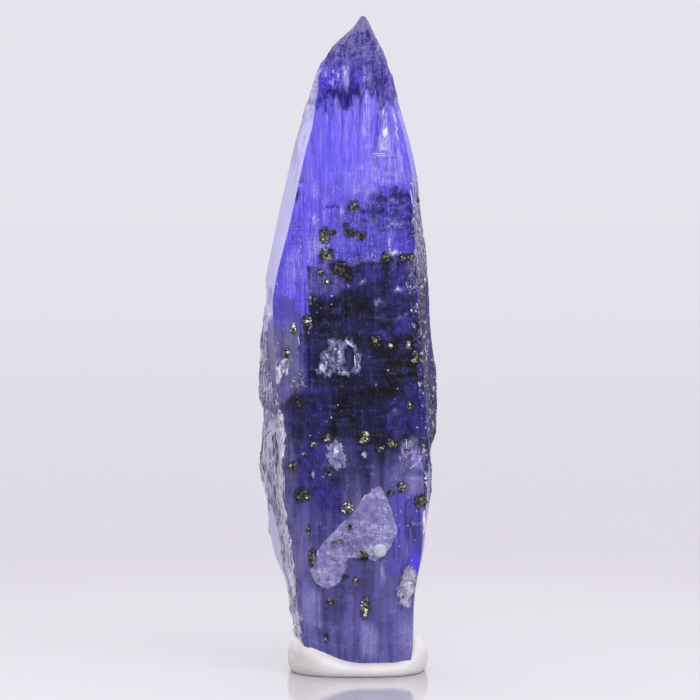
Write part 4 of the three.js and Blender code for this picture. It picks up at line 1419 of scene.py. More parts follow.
class Grains:
    """The noises that the crystal's zones share, each from 0 to 1 about a half.

    Hair, thread, fine and wide run up the crystal, layer and dash lie across it, braid winds up it, and
    the rest are round. Squiggle and cord are thin lines along a noise's middle value.
    """

    def __init__(self, shader: Shader, place: Socket) -> None:
        """Adds the noises to a material.

        Args:
            shader: the material's builder.
            place: the place, in millimetres.
        """
        self.hair = shader.grain(place, (17, 5, 0.8), 2, 0.6)
        self.thread = shader.grain(place, (12, 4, 0.16), 2, 0.5)
        self.fine = shader.grain(place, (9, 3, 0.3), 3, 0.65)
        self.wide = shader.grain(place, (2.6, 1.2, 0.12), 2, 0.5)
        self.layer = shader.grain(place, (0.7, 0.7, 3.2), 3, 0.6)
        self.dash = shader.grain(place, (1.5, 1.5, 5.5), 3, 0.6)
        self.haze = shader.grain(place, (0.55, 0.55, 0.5), 3, 0.6)
        self.fleck = shader.grain(place, (2.8, 1.6, 2.0), 3, 0.7)
        self.pebble = shader.grain(place, (4.2, 3, 3.4), 2, 0.6, 0.6)
        self.speck = shader.grain(place, (7, 4, 6), 2, 0.65)
        self.squiggle = 1 - abs(self.pebble - 0.5).rise(0.006, 0.03)
        self.braid = shader.grain(place, (3, 3, 0.5), 2, 0.5, 0.4)
        self.cord = 1 - abs(self.braid - 0.5).rise(0.012, 0.05)
        self.streak = (self.fine * 0.45 + self.wide * 0.35 + self.hair * 0.2).rise(0.4, 0.6)
        self.line = self.thread * 0.7 + self.hair * 0.3
        self.crumbs = self.fleck * 0.6 + self.speck * 0.4
        self.ragged = self.fine * 0.35 + self.dash * 0.25 + self.speck * 0.2 + self.fleck * 0.2


@dataclass(frozen=True)
class TanzaniteFinish:
    """Blue-violet crystal: clear and vivid above, dark and included in the middle, hazy at the foot."""

    ior: float = 1.69
    absorbed: Colour = (0.5, 0.36, 0.985, 1)
    density: float = 150.0
    vivid: Colour = srgb(127, 107, 255)
    deep: Colour = srgb(82, 62, 246)
    light: Colour = srgb(172, 162, 255)
    mid: Colour = srgb(64, 62, 168)
    shadow: Colour = srgb(40, 28, 134)
    indigo: Colour = srgb(24, 15, 96)
    pale: Colour = srgb(196, 190, 250)
    dark: Colour = srgb(20, 18, 58)
    violet: Colour = srgb(62, 54, 146)
    slate_blue: Colour = srgb(50, 54, 94)
    ink: Colour = srgb(5, 5, 15)
    glassy: Colour = srgb(206, 202, 248)
    glassy_outer: Colour = srgb(204, 202, 232)
    low: Colour = srgb(70, 64, 128)
    low_pale: Colour = srgb(98, 93, 162)
    window: Colour = srgb(76, 64, 200)
    frosted: Colour = srgb(154, 149, 190)
    frosted_low: Colour = srgb(106, 100, 156)
    bluish: Colour = srgb(112, 116, 152)
    ash: Colour = srgb(190, 190, 208)
    strand: Colour = srgb(184, 180, 192)
    slate: Colour = srgb(88, 86, 112)
    smoke: Colour = srgb(106, 100, 142)
    etched: Colour = srgb(92, 80, 166)
    # Painted highlight on the etched lumps' tops.
    etched_highlight: Colour = srgb(142, 134, 202)
    tip: Colour = srgb(136, 128, 156)
    white: Colour = srgb(240, 239, 248)

    def material(self) -> Material:
        """The crystal's material."""
        return TanzaniteNodes(self).material()


class TanzaniteNodes:
    """The crystal's node tree: masks from the piece's own attributes, and the colour of each zone.

    Each mask is broken up along fine noises, so that zones and marks have torn, natural borders.
    """

    def __init__(self, finish: TanzaniteFinish) -> None:
        """Starts the material and works out its masks.

        Args:
            finish: the colours.
        """
        self.finish = finish
        self.shader = shader = Shader(bpy.data.materials.new("tanzanite"))
        place = shader.place()
        x, _, z = self.x, _, self.z = shader.axes(place)
        g = self.grains = Grains(shader, place)
        self.dark, low, self.vivid = shader.attribute("zones")
        indigo, bright, violet = shader.attribute("marks")
        frost, self.white, self.ridge = shader.attribute("growths")
        rope, grain, self.chip = shader.attribute("faces")
        self.facet, self.window, soot = shader.attribute("details")
        self.low = low
        self.soot = self._torn(soot, g.crumbs) * 0.7
        self.indigo = self._veil(indigo, 0.32 + low * 0.4)
        self.violet = self._veil(violet, 0.6 + low * 0.3)
        self.pale = self._veil(bright, 0.5 + low * 0.3)
        # The strongest pale marks turn white and opaque here: painted highlights.
        self.painted_glint = bright.rise(0.78, 0.96)
        self.crust = self._torn(self.white, g.crumbs)
        self.frost = (frost + (g.crumbs - 0.5) * 0.25).rise(0.44, 0.54)
        self.rope = self._torn(rope, g.fine * 0.4 + g.crumbs * 0.6)
        self.grain = self._torn(grain, g.crumbs)
        border = z + (g.wide - 0.5) * 2.6 + (g.fine - 0.5) * 1.8 + abs(x - 0.6) * 0.3
        self.etch = border.rise(36.3, 36.8)
        self.middle = (1 - z.rise(28.6, 31)) * (x + (g.haze - 0.5) * 5).rise(-2.6, 0.4)
        self.groove = g.line.rise(0.56, 0.62) * g.wide.rise(0.42, 0.56) * (0.4 + 0.6 * z.rise(32, 35.5))
        self.crest = g.line.rise(0.57, 0.62) * (1 - g.wide.rise(0.4, 0.5))

    @staticmethod
    def _torn(mask: Value, ragged: Value, reach: float = 2.2) -> Value:
        """A soft mask cut along a noise: full where it is strong, broken up where it is weak."""
        return (mask + (ragged - 0.5) * reach).rise(0.36, 0.64) * mask.rise(0.0, 0.2)

    def _veil(self, mask: Value, soft: Value) -> Value:
        """A torn mask over a soft one of a given share."""
        return self._torn(mask, self.grains.ragged, 3.6) * (1 - soft) + mask * soft

    def material(self) -> Material:
        """A clear Principled and an included one, mixed by how cloudy the stone is, filled by an absorption.

        Returns:
            The finished material.
        """
        f, g, shader = self.finish, self.grains, self.shader
        colour, rocky = self._colour(), self.rope.highest(self.grain, self.crust, self.etch * 0.7)
        height = (g.fine * 0.3 + g.wide * 0.3 + g.hair * 0.25 - self.groove * 0.3) * (1 - self.low * 0.5)
        height = height + rocky * (g.speck + g.fleck * 0.6) + self.etch * g.pebble * 2.4
        height = height + self.frost * g.fleck * 0.6 + self.dark * (g.layer * 0.5 + g.speck * 0.3)
        normal = shader.bumped(height, 0.1)
        rough = 0.07 + 0.1 * g.streak + 0.12 * self.etch + 0.3 * self.frost.highest(rocky)
        clear = shader.principled({
            "Base Color": shader.layered(colour, (0.3, f.white)), "Roughness": rough * 0.6,
            "IOR": f.ior, "Transmission Weight": 1.0, "Normal": normal,
        })
        cloudy = shader.principled({
            "Base Color": colour, "Roughness": rough + 0.1, "IOR": f.ior, "Specular IOR Level": 0.1,
            "Normal": normal,
        })
        surface = shader.node("ShaderNodeMixShader", {}, {0: self._cloud(), 1: clear, 2: cloudy}).outputs[0]
        filling = shader.node("ShaderNodeVolumeAbsorption", {}, {"Color": f.absorbed, "Density": f.density})
        return shader.finish(surface=surface, volume=filling.outputs[0])

    def _cloud(self) -> Value:
        """How cloudy the stone is at each place.

        Returns:
            The share of the included shader.
        """
        g, low = self.grains, self.low
        cloud = (0.46 + g.streak * 0.14 + self.middle * 0.2).highest(
            self.groove * 0.7, self.crest * 0.6, self.etch * (0.6 + 0.3 * g.pebble),
            low * (0.62 + 0.3 * g.haze), self.dark * 0.985, self.indigo * 0.97, self.soot)
        low_edge = self.x.rise(3.4, 3.8) * self.z.rise(9, 7)
        return (cloud - self.vivid * 0.3).highest(
            self.pale * 0.6, self.painted_glint, self.frost * 0.95, self.crust * 0.95, self.rope * 0.88,
            self.grain * 0.9, self.facet.rise(0, 0.5) * 0.75, low_edge).clamp()

    def _colour(self) -> Socket:
        """The stone's colour: zones, then stains, pale marks and their painted white highlights, then
        growths, and the outer faces last.

        Returns:
            The colour.
        """
        f, g, x, z = self.finish, self.grains, self.x, self.z
        dark, low, indigo, layered = self.dark, self.low, self.indigo, self.shader.layered
        stain = layered(f.indigo, (dark.highest(low * 0.5), f.ink), (z.rise(30.5, 33), f.shadow))
        paler = layered(f.pale, (dark * 0.7, f.violet))
        breaks = g.dash.rise(0.54, 0.6).highest(g.line.rise(0.56, 0.6)) * z.rise(27.5, 28.5) * z.rise(33, 31)
        margin = x.rise(-2.4, -3.4) * z.rise(24, 22) * (g.fleck * 0.5 + g.fine * 0.5).rise(0.4, 0.58)
        return layered(
            self._upper(),
            (self.etch * 0.92, self._etched()),
            (low, self._low()),
            (self.vivid * (0.5 + 0.5 * g.streak), f.window),
            (self.violet * z.rise(20.8, 22) * (1 - dark) * (0.55 + 0.45 * g.streak), f.mid),
            (dark, self._core()),
            (indigo * (1.05 + 0.15 * g.hair.rise(0.35, 0.6)), stain),
            (indigo * breaks * 0.4, f.mid),
            (self.soot, f.ink),
            (margin * (0.45 - dark * 0.3), f.slate),
            (low * (1 - dark) * margin * z.rise(2, 5) * 0.3, f.frosted),
            (self.pale * (0.5 + 0.4 * g.hair.rise(0.35, 0.6)), paler),
            # Painted highlights: white on the strongest pale marks.
            (self.painted_glint * 0.9, f.white),
            (self.frost * 0.92, self._frosting()),
            (self.crust * 0.95, self._rubble()),
            (self.window * 0.85, f.slate_blue),
            (self.rope * 0.9, self._strands()),
            (self.grain * 0.88, self._granular()),
            (self.chip * g.wide.rise(0.45, 0.6) * 0.4, f.light),
            (self.facet.rise(0, 0.5) * 0.9, self._glassy()),
        )

    def _upper(self) -> Socket:
        """The colour above the dark part: streaks and lines, and lower down layers, dashes, and pale specks
        that are painted sparkle highlights.

        Returns:
            The colour.
        """
        f, g, middle = self.finish, self.grains, self.middle
        busy = 1 - self.z.rise(30.6, 32.4)
        # Pale specks here are painted sparkle highlights; pale squiggles share their layer.
        painted_sparkles = (g.speck * 0.6 + g.hair * 0.4).rise(0.575, 0.625) * g.fleck.rise(0.46, 0.54)
        return self.shader.layered(
            f.deep,
            (g.streak, f.vivid),
            (g.wide.rise(0.54, 0.7) * g.hair.rise(0.4, 0.6) * 0.5, f.light),
            (middle * (0.5 + 0.5 * g.fleck.rise(0.4, 0.6)), f.mid),
            (self.groove * 0.8, f.shadow),
            (self.crest * 0.7, f.light),
            (g.dash.rise(0.57, 0.64) * g.haze.rise(0.46, 0.56) * busy * 0.75, f.shadow),
            (middle * g.layer.rise(0.56, 0.64) * g.hair.rise(0.42, 0.56) * 0.7, f.indigo),
            (g.squiggle * g.fleck.rise(0.5, 0.6) * g.haze.rise(0.42, 0.52) * busy * 0.35, f.shadow),
            (painted_sparkles.highest(g.squiggle * g.layer.rise(0.5, 0.6) * 0.6) * busy * 0.8, f.pale),
        )

    def _etched(self) -> Socket:
        """The colour of the etched tip: violet lumps with painted shade in the pits and painted highlights on
        the lumps' tops, paler towards the top.

        Returns:
            The colour.
        """
        f, g, z = self.finish, self.grains, self.z
        # The pits follow the bump's noises, so their low places keep the dark shadow colour and the lowest
        # turn indigo, painted shade, while the highest turn pale, painted highlights.
        pits = g.pebble * 0.4 + g.speck * 0.3 + g.fleck * 0.3
        return self.shader.layered(
            f.shadow,
            (pits.rise(0.43, 0.5), f.etched),
            (z.rise(38.6, 37) * self.x.rise(1.4, 0.2) * 0.6, f.deep),
            (pits.rise(0.54, 0.6) * 0.75, f.etched_highlight),
            ((z + (g.pebble - 0.5) * 4).rise(37.6, 39) * pits.rise(0.44, 0.5) * 0.4, f.tip),
            (pits.rise(0.44, 0.38) * 0.6, f.indigo),
            ((z + (g.speck - 0.5) * 1.5).rise(39.4, 40.8) * 0.8, f.tip),
        )

    def _low(self) -> Socket:
        """The colour of the foot: soft upright panels, a few of them lighter, under faint streaks.

        Returns:
            The colour.
        """
        f, g = self.finish, self.grains
        return self.shader.layered(
            f.low,
            ((g.wide * 0.45 + g.haze * 0.4 + g.fine * 0.15).rise(0.4, 0.6), f.low_pale),
            ((g.fleck * 0.5 + g.layer * 0.5).rise(0.52, 0.66) * 0.14, f.pale),
            (g.line.rise(0.57, 0.64) * 0.25, f.shadow),
            (g.squiggle * g.haze.rise(0.5, 0.6) * 0.12, f.pale),
        )

    def _core(self) -> Socket:
        """The colour of the dark part: near black with violet windows, faint layers, slate-blue threads that
        are painted highlights along the striae, and pale specks that are painted highlights.

        Returns:
            The colour.
        """
        f, g = self.finish, self.grains
        return self.shader.layered(
            f.ink,
            (g.haze.rise(0.42, 0.62), f.dark),
            (g.layer.rise(0.52, 0.62) * g.streak * g.fleck.rise(0.4, 0.6) * 0.5, f.violet),
            # Slate-blue hair lines: painted highlights along the striae.
            (g.fleck.rise(0.52, 0.62) * g.hair.rise(0.42, 0.58) * 0.5, f.slate_blue),
            (self.violet * (0.4 + 0.6 * (g.hair * 0.3 + g.fleck * 0.7).rise(0.4, 0.56)), f.violet),
            # Slate-blue thread lines: painted highlights along the striae.
            (g.line.rise(0.56, 0.62) * g.haze.rise(0.42, 0.55) * 0.5, f.slate_blue),
            (g.dash.rise(0.58, 0.66) * 0.4, f.ink),
            (g.squiggle * g.layer.rise(0.5, 0.6) * 0.35, f.slate),
            # Pale specks: painted highlights, as tiny glints.
            (g.speck.rise(0.69, 0.74) * g.fleck.rise(0.52, 0.62) * 0.7, f.pale),
        )

    def _frosting(self) -> Socket:
        """The colour of the frosted growth: two lavenders with ash, smoky clouds and white squiggles.

        Returns:
            The colour.
        """
        f, g = self.finish, self.grains
        return self.shader.layered(
            f.frosted_low,
            (g.fleck.rise(0.36, 0.62), f.frosted),
            ((g.speck * 0.5 + g.layer * 0.5).rise(0.5, 0.62) * 0.4, f.ash),
            (g.haze.rise(0.42, 0.56) * 0.45, f.frosted_low),
            (g.squiggle * g.layer.rise(0.45, 0.6) * 0.5, f.white),
            ((g.pebble * 0.6 + g.haze * 0.4).rise(0.54, 0.62) * 0.55, f.smoke),
        )

    def _rubble(self) -> Socket:
        """The colour of the crusts: bluish in the middle, duller lavender below, and beige at the left.

        Returns:
            The colour.
        """
        f, g, layered = self.finish, self.grains, self.shader.layered
        duller = self.low.highest(self.z.rise(16, 14.5)) * 0.75
        beige = self.x.rise(-3.2, -3.9)
        gaps = layered(f.slate_blue, (duller, f.frosted_low))
        lumps = layered(f.bluish, (duller, f.frosted))
        bright = g.crumbs + self.white * 0.9
        return layered(
            layered(gaps, (beige, f.smoke)),
            ((g.crumbs * 0.5 + g.fine * 0.2 + g.pebble * 0.3).rise(0.42, 0.54),
             layered(lumps, (beige, f.strand))),
            (beige * g.cord * 0.6, f.white),
            (bright.rise(1.3, 1.38), f.ash),
            (bright.rise(1.39, 1.45), f.white),
        )

    def _strands(self) -> Socket:
        """The colour of the splintered side: grainy grey above, and pale strands with dark gaps below.

        Returns:
            The colour.
        """
        f, g, z, ridge, layered = self.finish, self.grains, self.z, self.ridge, self.shader.layered
        gap = (g.line.rise(0.54, 0.6) * 0.6).highest(g.braid.rise(0.54, 0.59) * 0.85)
        pale = (g.speck + z.rise(9, 5) * 0.12).rise(0.6, 0.66)
        strands = layered(
            f.smoke,
            ((ridge * 0.5 + g.fine * 0.25 + g.speck * 0.25).rise(0.36, 0.6), f.strand),
            (gap, layered(f.smoke, (z.rise(9, 12), f.slate_blue))),
            (g.braid.rise(0.46, 0.4) * 0.5, f.white),
            ((pale * ridge).highest(g.cord * 0.85), f.white),
        )
        grainy = layered(
            f.smoke,
            (g.crumbs.rise(0.46, 0.58), f.strand),
            (g.haze.rise(0.5, 0.62) * 0.5, f.smoke),
            (g.pebble.rise(0.58, 0.66) * 0.7, f.dark),
            (g.braid.rise(0.55, 0.6) * 0.5, f.smoke),
            (g.speck.rise(0.62, 0.68).highest(g.cord * 0.75), f.white),
        )
        return layered(strands, ((z + (g.haze - 0.5) * 5).rise(14.5, 17), grainy))

    def _granular(self) -> Socket:
        """The colour of the granular right side: dark and grey crumbs, paler above, with white grains.

        Returns:
            The colour.
        """
        f, g = self.finish, self.grains
        return self.shader.layered(
            f.dark,
            (g.crumbs.rise(0.46, 0.58), f.slate),
            (g.haze.rise(0.45, 0.62) * 0.6, f.violet),
            (self.z.rise(23.5, 26.5) * g.crumbs.rise(0.43, 0.52) * 0.6, f.strand),
            (g.crumbs.rise(0.57, 0.62), f.white),
        )

    def _glassy(self) -> Socket:
        """The colour of the smooth pale face: lighter inwards, with a few grey streaks near the top.

        Returns:
            The colour.
        """
        f = self.finish
        streaks = self.grains.wide.rise(0.5, 0.62) * self.z.rise(29, 33) * 0.35
        return self.shader.layered(f.glassy_outer, (self.facet.rise(0.6, 0.95), f.glassy), (streaks, f.slate))


@dataclass(frozen=True)
class PuttyFinish:
    """Soft white putty with a faint satin skin and a few smudges."""

    base: Colour = srgb(209, 208, 202)
    shade: Colour = srgb(201, 200, 195)

    def material(self) -> Material:
        """White with faint smudges and finger ripples.

        Returns:
            The material.
        """
        shader = Shader(bpy.data.materials.new("mounting_putty"))
        place = shader.place()
        smudge = shader.grain(place, (0.5, 0.5, 0.8), 3, 0.6)
        ripple = shader.grain(place, (1.2, 1.2, 2.5), 2, 0.5)
        pores = shader.grain(place, (9, 9, 9), 2, 0.6)
        return shader.finish(surface=shader.principled({
            "Base Color": shader.layered(self.base, (smudge.rise(0.4, 0.7), self.shade)),
            "Roughness": 0.42 + 0.14 * smudge, "Specular IOR Level": 0.45,
            "Subsurface Weight": 0.15, "Subsurface Radius": (1.0, 0.9, 0.9), "Subsurface Scale": 0.4 * MM,
            "Normal": shader.bumped(ripple + pores * 0.12, 0.06),
        }))


@dataclass(frozen=True)
class PyriteFinish:
    """Tarnished pyrite and graphite: dark grains with brassy faces, and bright faces that are painted
    highlights.
    """

    brass: Colour = srgb(156, 154, 134)
    olive: Colour = srgb(92, 91, 76)
    soot: Colour = srgb(18, 18, 24)
    # bright: a painted highlight, the face that catches the light.
    bright: Colour = srgb(232, 230, 216)

    def material(self) -> Material:
        """Each grain's own tone picks soot, olive, brass or a bright face, which is a painted highlight.

        Returns:
            The material.
        """
        shader = Shader(bpy.data.materials.new("pyrite"))
        place = shader.place()
        tone, _, _ = shader.attribute("tone")
        fine = shader.grain(place, (11, 11, 11), 2, 0.6)
        mixed = tone + (fine - 0.5) * 0.5
        colour = shader.layered(self.soot, (mixed.rise(0.34, 0.46), self.olive),
                                (mixed.rise(0.6, 0.72), self.brass), (mixed.rise(0.84, 0.88), self.bright))
        return shader.finish(surface=shader.principled({
            "Base Color": colour, "Roughness": 0.3 + 0.3 * fine, "Metallic": 0.4,
            "Normal": shader.bumped(fine, 0.03),
        }))


@dataclass(frozen=True)
class CrustFinish:
    """Pale translucent crust of small crystals."""

    white: Colour = srgb(214, 214, 230)
    blue: Colour = srgb(140, 144, 180)
    clear: float = 0.35

    def material(self) -> Material:
        """Whitish, partly see-through, with cloudy variation.

        Returns:
            The material.
        """
        shader = Shader(bpy.data.materials.new("pale_crust"))
        place = shader.place()
        cloud = shader.grain(place, (2.4, 2.4, 2.4), 3, 0.6)
        fine = shader.grain(place, (9, 9, 9), 2, 0.6)
        return shader.finish(surface=shader.principled({
            "Base Color": shader.layered(self.blue, (cloud.rise(0.35, 0.65), self.white)),
            "Roughness": 0.16 + 0.3 * fine, "IOR": 1.55, "Transmission Weight": self.clear,
            "Normal": shader.bumped(fine, 0.04),
        }))


@dataclass(frozen=True)
class StudioFinish:
    """The glossy white floor, painted darker and lavender-grey away from the specimen: a painted falloff of
    the light.
    """

    near: Colour = srgb(182, 180, 180)
    # far: painted shade, the floor away from the light.
    far: Colour = srgb(172, 169, 176)

    def material(self) -> Material:
        """The colour goes from near to far with the distance from the middle: painted shade, darker away from
        the specimen.

        Returns:
            The material.
        """
        shader = Shader(bpy.data.materials.new("studio_floor"))
        x, y, _ = shader.axes(shader.place())
        distance = (x * x + y * y) ** 0.5
        return shader.finish(surface=shader.principled({
            "Base Color": shader.layered(self.near, (distance.rise(38, 70), self.far)),
            "Roughness": 0.08, "Specular IOR Level": 0.34,
        }))


# ---------------------------------------------------------------- sub-assemblies


@dataclass
class Crystal:
    """The tanzanite crystal itself, with the masks that its mesh carries in each colour attribute."""

    surface: CrystalSurface
    finish: TanzaniteFinish = TanzaniteFinish()
    attributes: dict[str, tuple[str, str, str]] = field(default_factory=lambda: {
        "zones": ("dark", "low", "vivid"), "marks": ("indigo", "pale", "violet"),
        "growths": ("frost", "white", "ridge"), "faces": ("rope", "grain", "chip"),
        "details": ("facet", "window", "soot"),
    })
    sharp_degrees: float = 32

    def build(self) -> Object:
        """Makes the crystal's mesh with its masks, dresses it, and lets it replace its solid.

        Returns:
            The crystal.
        """
        mesh, masks = self.surface.mesh(), self.surface.masks
        for name, channels in self.attributes.items():
            paint(mesh, name, *(np.append(masks[channel].ravel(), (0, 0)) for channel in channels))
        piece = new_piece(mesh, self.finish.material(), self.sharp_degrees)
        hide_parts(CRYSTAL_NODE)
        return piece


@dataclass
class Pyrites:
    """Grains of pyrite and graphite on the crystal: clusters and loose specks."""

    surface: CrystalSurface
    back_clusters: int = 30
    back_z: Pair = (4, 29)  # the heights between which they lie
    # The least and the most of a back cluster's half width, half height, coarseness and brightness.
    back_range: tuple[tuple[float, ...], ...] = ((0.12, 0.12, 0.9, 0.8), (0.4, 0.45, 1.8, 1.2))
    crowding: float = 520  # grains to a square millimetre of half width times half height, if not coarse
    grain_half: Pair = (0.03, 0.08)  # the least and the most half size in a cluster, if not coarse
    # The least and the most of a grain's own half sizes, against its half size.
    grain_shape: tuple[Triple, Triple] = ((0.8, 0.8, 0.35), (1.25, 1.25, 0.8))
    specks: int = 150
    speck_z: Pair = (3.5, 25.5)
    tumble: float = 0.4
    seed: int = 5

    def build(self) -> Object:
        """Makes all grains as one mesh: the front's clusters, those on the back, and the specks.

        Returns:
            The grains.
        """
        draw, surface = np.random.default_rng(self.seed), self.surface
        clusters = np.array(CLUSTERS)
        front = surface.anchors(*clusters[:, :2].T)
        weight = surface.patchy((Facing.BACK, Facing.RIGHT), self.back_z, 91)
        back = surface.scatter(self.back_clusters, weight, draw)
        sizes = np.concatenate((clusters[:, 2:], draw.uniform(*self.back_range, (self.back_clusters, 4))))
        grains = [self._cluster(middle, normal, size, draw) for middle, normal, size in
                  zip(*map(np.concatenate, zip(front, back)), sizes)]
        weight = surface.patchy((Facing.FRONT, Facing.BACK, Facing.RIGHT), self.speck_z, 92)
        specks = surface.scatter(self.specks, weight, draw)
        halves = 0.02 + 0.05 * draw.uniform(0, 1, self.specks) ** 3
        grains.append((*specks, halves, draw.uniform(0, 0.75, self.specks)))
        places, normals, halves, tones = map(np.concatenate, zip(*grains))
        sizes = halves[:, None] * draw.uniform(*self.grain_shape, (len(places), 3))
        shape, turns = lump(6, 6, BOXY), tumbled_frames(normals, draw, self.tumble)
        mesh = joined_copies("pyrite_grains", shape, places, sizes, turns)
        paint(mesh, "tone", *[np.repeat(tones, len(shape[0]))] * 3)
        return new_piece(mesh, PyriteFinish().material())

    def _cluster(self, middle: Array, normal: Array, size: Array,
                 draw: Draw) -> tuple[Array, Array, Array, Array]:
        """An oval filled with small box-like grains, larger and brighter ones in its middle, where most
        painted highlights fall.

        Args:
            middle: the oval's middle.
            normal: the surface's normal there.
            size: its half width and half height, and how coarse and how bright its grains are.
            draw: the random numbers.

        Returns:
            The grains' places, normals, half sizes and tones.
        """
        width, height, coarse, shine = size
        count = max(8, round(self.crowding * width * height / coarse**1.5))
        angle, reach = draw.uniform(0, 2 * np.pi, count), np.sqrt(draw.uniform(0, 1, count))
        offset = np.stack((width * reach * np.cos(angle), 0 * angle, height * reach * np.sin(angle)), -1)
        offset -= (offset @ normal)[:, None] * normal
        reach = reach * (1 + 0.3 * np.sin(3 * angle + 9 * middle[0]))
        half = coarse * draw.uniform(*self.grain_half, count) * (1.2 - 0.5 * reach)
        # Big grains are kept darker, so that the bright face, a painted highlight, stays on small grains.
        darker = np.clip(1.35 - 4 * half, 0.7, 1)
        tone = shine * draw.uniform(0.1, 1, count) * (1.1 - 0.5 * reach) * darker
        places = middle + offset + normal * (half * draw.uniform(-0.7, 0.2, count))[:, None]
        return places, np.tile(normal, (count, 1)), half, tone


@dataclass
class Crusts:
    """Crusts of small pale crystals, thin splinters, pale blades for painted highlights and streaks, grey
    needles and a round pale disc.
    """

    surface: CrystalSurface
    # Crowded crystals: x, z, half width, half height, how many there are, and their half size.
    patches: tuple[tuple[float, float, float, float, int, float], ...] = (
        (-1.3, 19.2, 0.4, 0.6, 7, 0.1), (0.0, 20.7, 0.35, 0.2, 5, 0.12), (0.45, 19.6, 0.1, 0.6, 4, 0.08),
        (-0.1, 18.95, 0.7, 0.15, 7, 0.09), (-0.7, 13.9, 0.4, 0.7, 9, 0.07),
        (-4.3, 15.2, 0.16, 1.3, 12, 0.05),
    )
    # Single pale crystals, set where the front shows glints, so their paleness is partly painted highlight:
    # x, z and half size.
    glints: tuple[Triple, ...] = (
        (3.19, 26.43, 0.07), (0.84, 24.59, 0.08), (-0.03, 24.31, 0.09), (-1.09, 23.24, 0.06),
        (-1.75, 22.93, 0.05), (-1.06, 23.68, 0.07), (-2.84, 22.87, 0.07), (-0.69, 17.02, 0.06),
        (-1.12, 16.24, 0.05), (1.66, 23.18, 0.08), (1.66, 18.18, 0.07), (3, 18.02, 0.08),
        (2.41, 19.15, 0.06), (4.22, 15.56, 0.09), (5.28, 15.62, 0.08), (0.9, 13.84, 0.14),
        (0.47, 28.95, 0.09), (-2.35, 21.75, 0.1), (-2.5, 21.45, 0.07), (2.5, 26.6, 0.07),
    )
    # Pale blades, painted highlights on the edges of chips and steps and pale streaks: x, z, half length,
    # half width, and lean in degrees.
    glints_and_streaks: tuple[tuple[float, float, float, float, float], ...] = (
        (2.88, 34.68, 0.4, 0.08, -50), (3.09, 34.21, 0.31, 0.05, -24), (3.36, 33.62, 0.42, 0.055, -62),
        (3.28, 34.2, 0.27, 0.04, -54), (2.03, 32.46, 0.58, 0.03, 0), (2.1, 34.95, 0.2, 0.05, 62),
        (2.3, 33.3, 0.3, 0.02, 84), (2.0, 33.0, 0.25, 0.02, 95), (4.28, 30.1, 0.5, 0.03, -80),
        (-1.66, 27.15, 0.28, 0.025, -52), (0.0, 20.75, 0.36, 0.08, -42), (0.4, 19.6, 0.5, 0.035, -84),
        (4.66, 9.75, 0.7, 0.1, -87), (-2.15, 28.6, 0.16, 0.02, 60), (3.2, 10.3, 0.1, 0.02, 80),
        (-3.1, 20.9, 0.3, 0.03, 100), (-1.0, 37.6, 0.14, 0.03, 88), (-0.66, 37.3, 0.17, 0.03, 92),
        (-0.25, 37.5, 0.2, 0.035, 90), (-1.45, 37.3, 0.12, 0.03, 84), (-1.2, 36.9, 0.1, 0.025, 90),
        (-0.48, 36.8, 0.12, 0.022, 90), (3.7, 9.46, 0.06, 0.03, 80), (3.1, 8.15, 0.06, 0.04, 20),
        (3.9, 7.3, 0.05, 0.03, 70), (4.1, 8.6, 0.07, 0.02, 88), (2.9, 10.1, 0.05, 0.02, 60),
        (4.78, 14.1, 0.34, 0.035, 80), (4.45, 13.5, 0.34, 0.03, 50), (3.95, 13.1, 0.3, 0.022, 28),
        (3.3, 14.2, 0.26, 0.02, 87), (3.55, 14.5, 0.34, 0.022, 91), (3.85, 14.0, 0.2, 0.02, 86),
        (3.15, 13.6, 0.16, 0.018, 95), (-4.5, 19.2, 0.22, 0.02, 60), (-4.1, 19.4, 0.16, 0.018, 30),
        (-4.8, 18.5, 0.24, 0.02, 80), (-4.4, 18.3, 0.14, 0.018, 110), (-3.8, 18.9, 0.18, 0.016, 40),
        (-4.9, 17.6, 0.2, 0.02, 95), (4.78, 10.2, 0.22, 0.05, 88), (4.6, 9.0, 0.2, 0.035, 80),
        (4.2, 10.3, 0.1, 0.02, 90), (0.9, 11.2, 0.3, 0.022, 52), (2.1, 11.2, 0.3, 0.02, -62),
        (-0.4, 9.6, 0.3, 0.02, 48), (-1.9, 7.8, 0.24, 0.02, 76), (-1.7, 5.7, 0.3, 0.018, -20),
    )
    needle_box: tuple[Pair, Pair] = ((2.9, 4.2), (4.35, 7))
    needles: int = 420  # in the box, before those outside their patch are left out
    needle_lean: Pair = (0.95, 0.5)  # its mean and spread, in radians up from +X
    # The least and the most half length, half width and half thickness of a needle, and of a splinter.
    needle_range: tuple[Triple, Triple] = ((0.08, 0.012, 0.012), (0.26, 0.028, 0.024))
    splinter_range: tuple[Triple, Triple] = ((0.2, 0.02, 0.015), (0.9, 0.07, 0.05))
    splinters: int = 240
    splinter_z: Pair = (5.5, 8)  # the heights over which they set in
    flecks: int = 260
    fleck_z: Pair = (3, 27)
    # The least and the most of a crystal's own half sizes, against its half size.
    crystal_shape: tuple[Triple, Triple] = ((0.5, 0.5, 0.3), (1.3, 1.3, 0.7))
    tumble: float = 0.5
    disc_place: Pair = (1.95, 7.95)
    disc_half: Triple = (0.42, 0.42, 0.13)
    finish: CrustFinish = CrustFinish()
    # Near white, for the blades of painted highlights and streaks.
    glint_and_streak_finish: CrustFinish = CrustFinish(srgb(236, 235, 250), srgb(196, 192, 238), 0.1)
    needle_finish: CrustFinish = CrustFinish(srgb(200, 197, 208), srgb(138, 134, 152), 0.05)
    disc_finish: CrustFinish = CrustFinish(srgb(192, 198, 204), srgb(170, 177, 192), 0.05)
    seed: int = 8

    def build(self) -> list[Object]:
        """Makes the crystals, the splinters, the disc, the blades of painted highlights and streaks, and the
        needles.

        Returns:
            The pieces.
        """
        draw, material = np.random.default_rng(self.seed), self.finish.material()
        return [
            self._crystals(draw, material), self._splinters(draw, material), self._disc(), self._glints_and_streaks(),
            self._needles(draw),
        ]

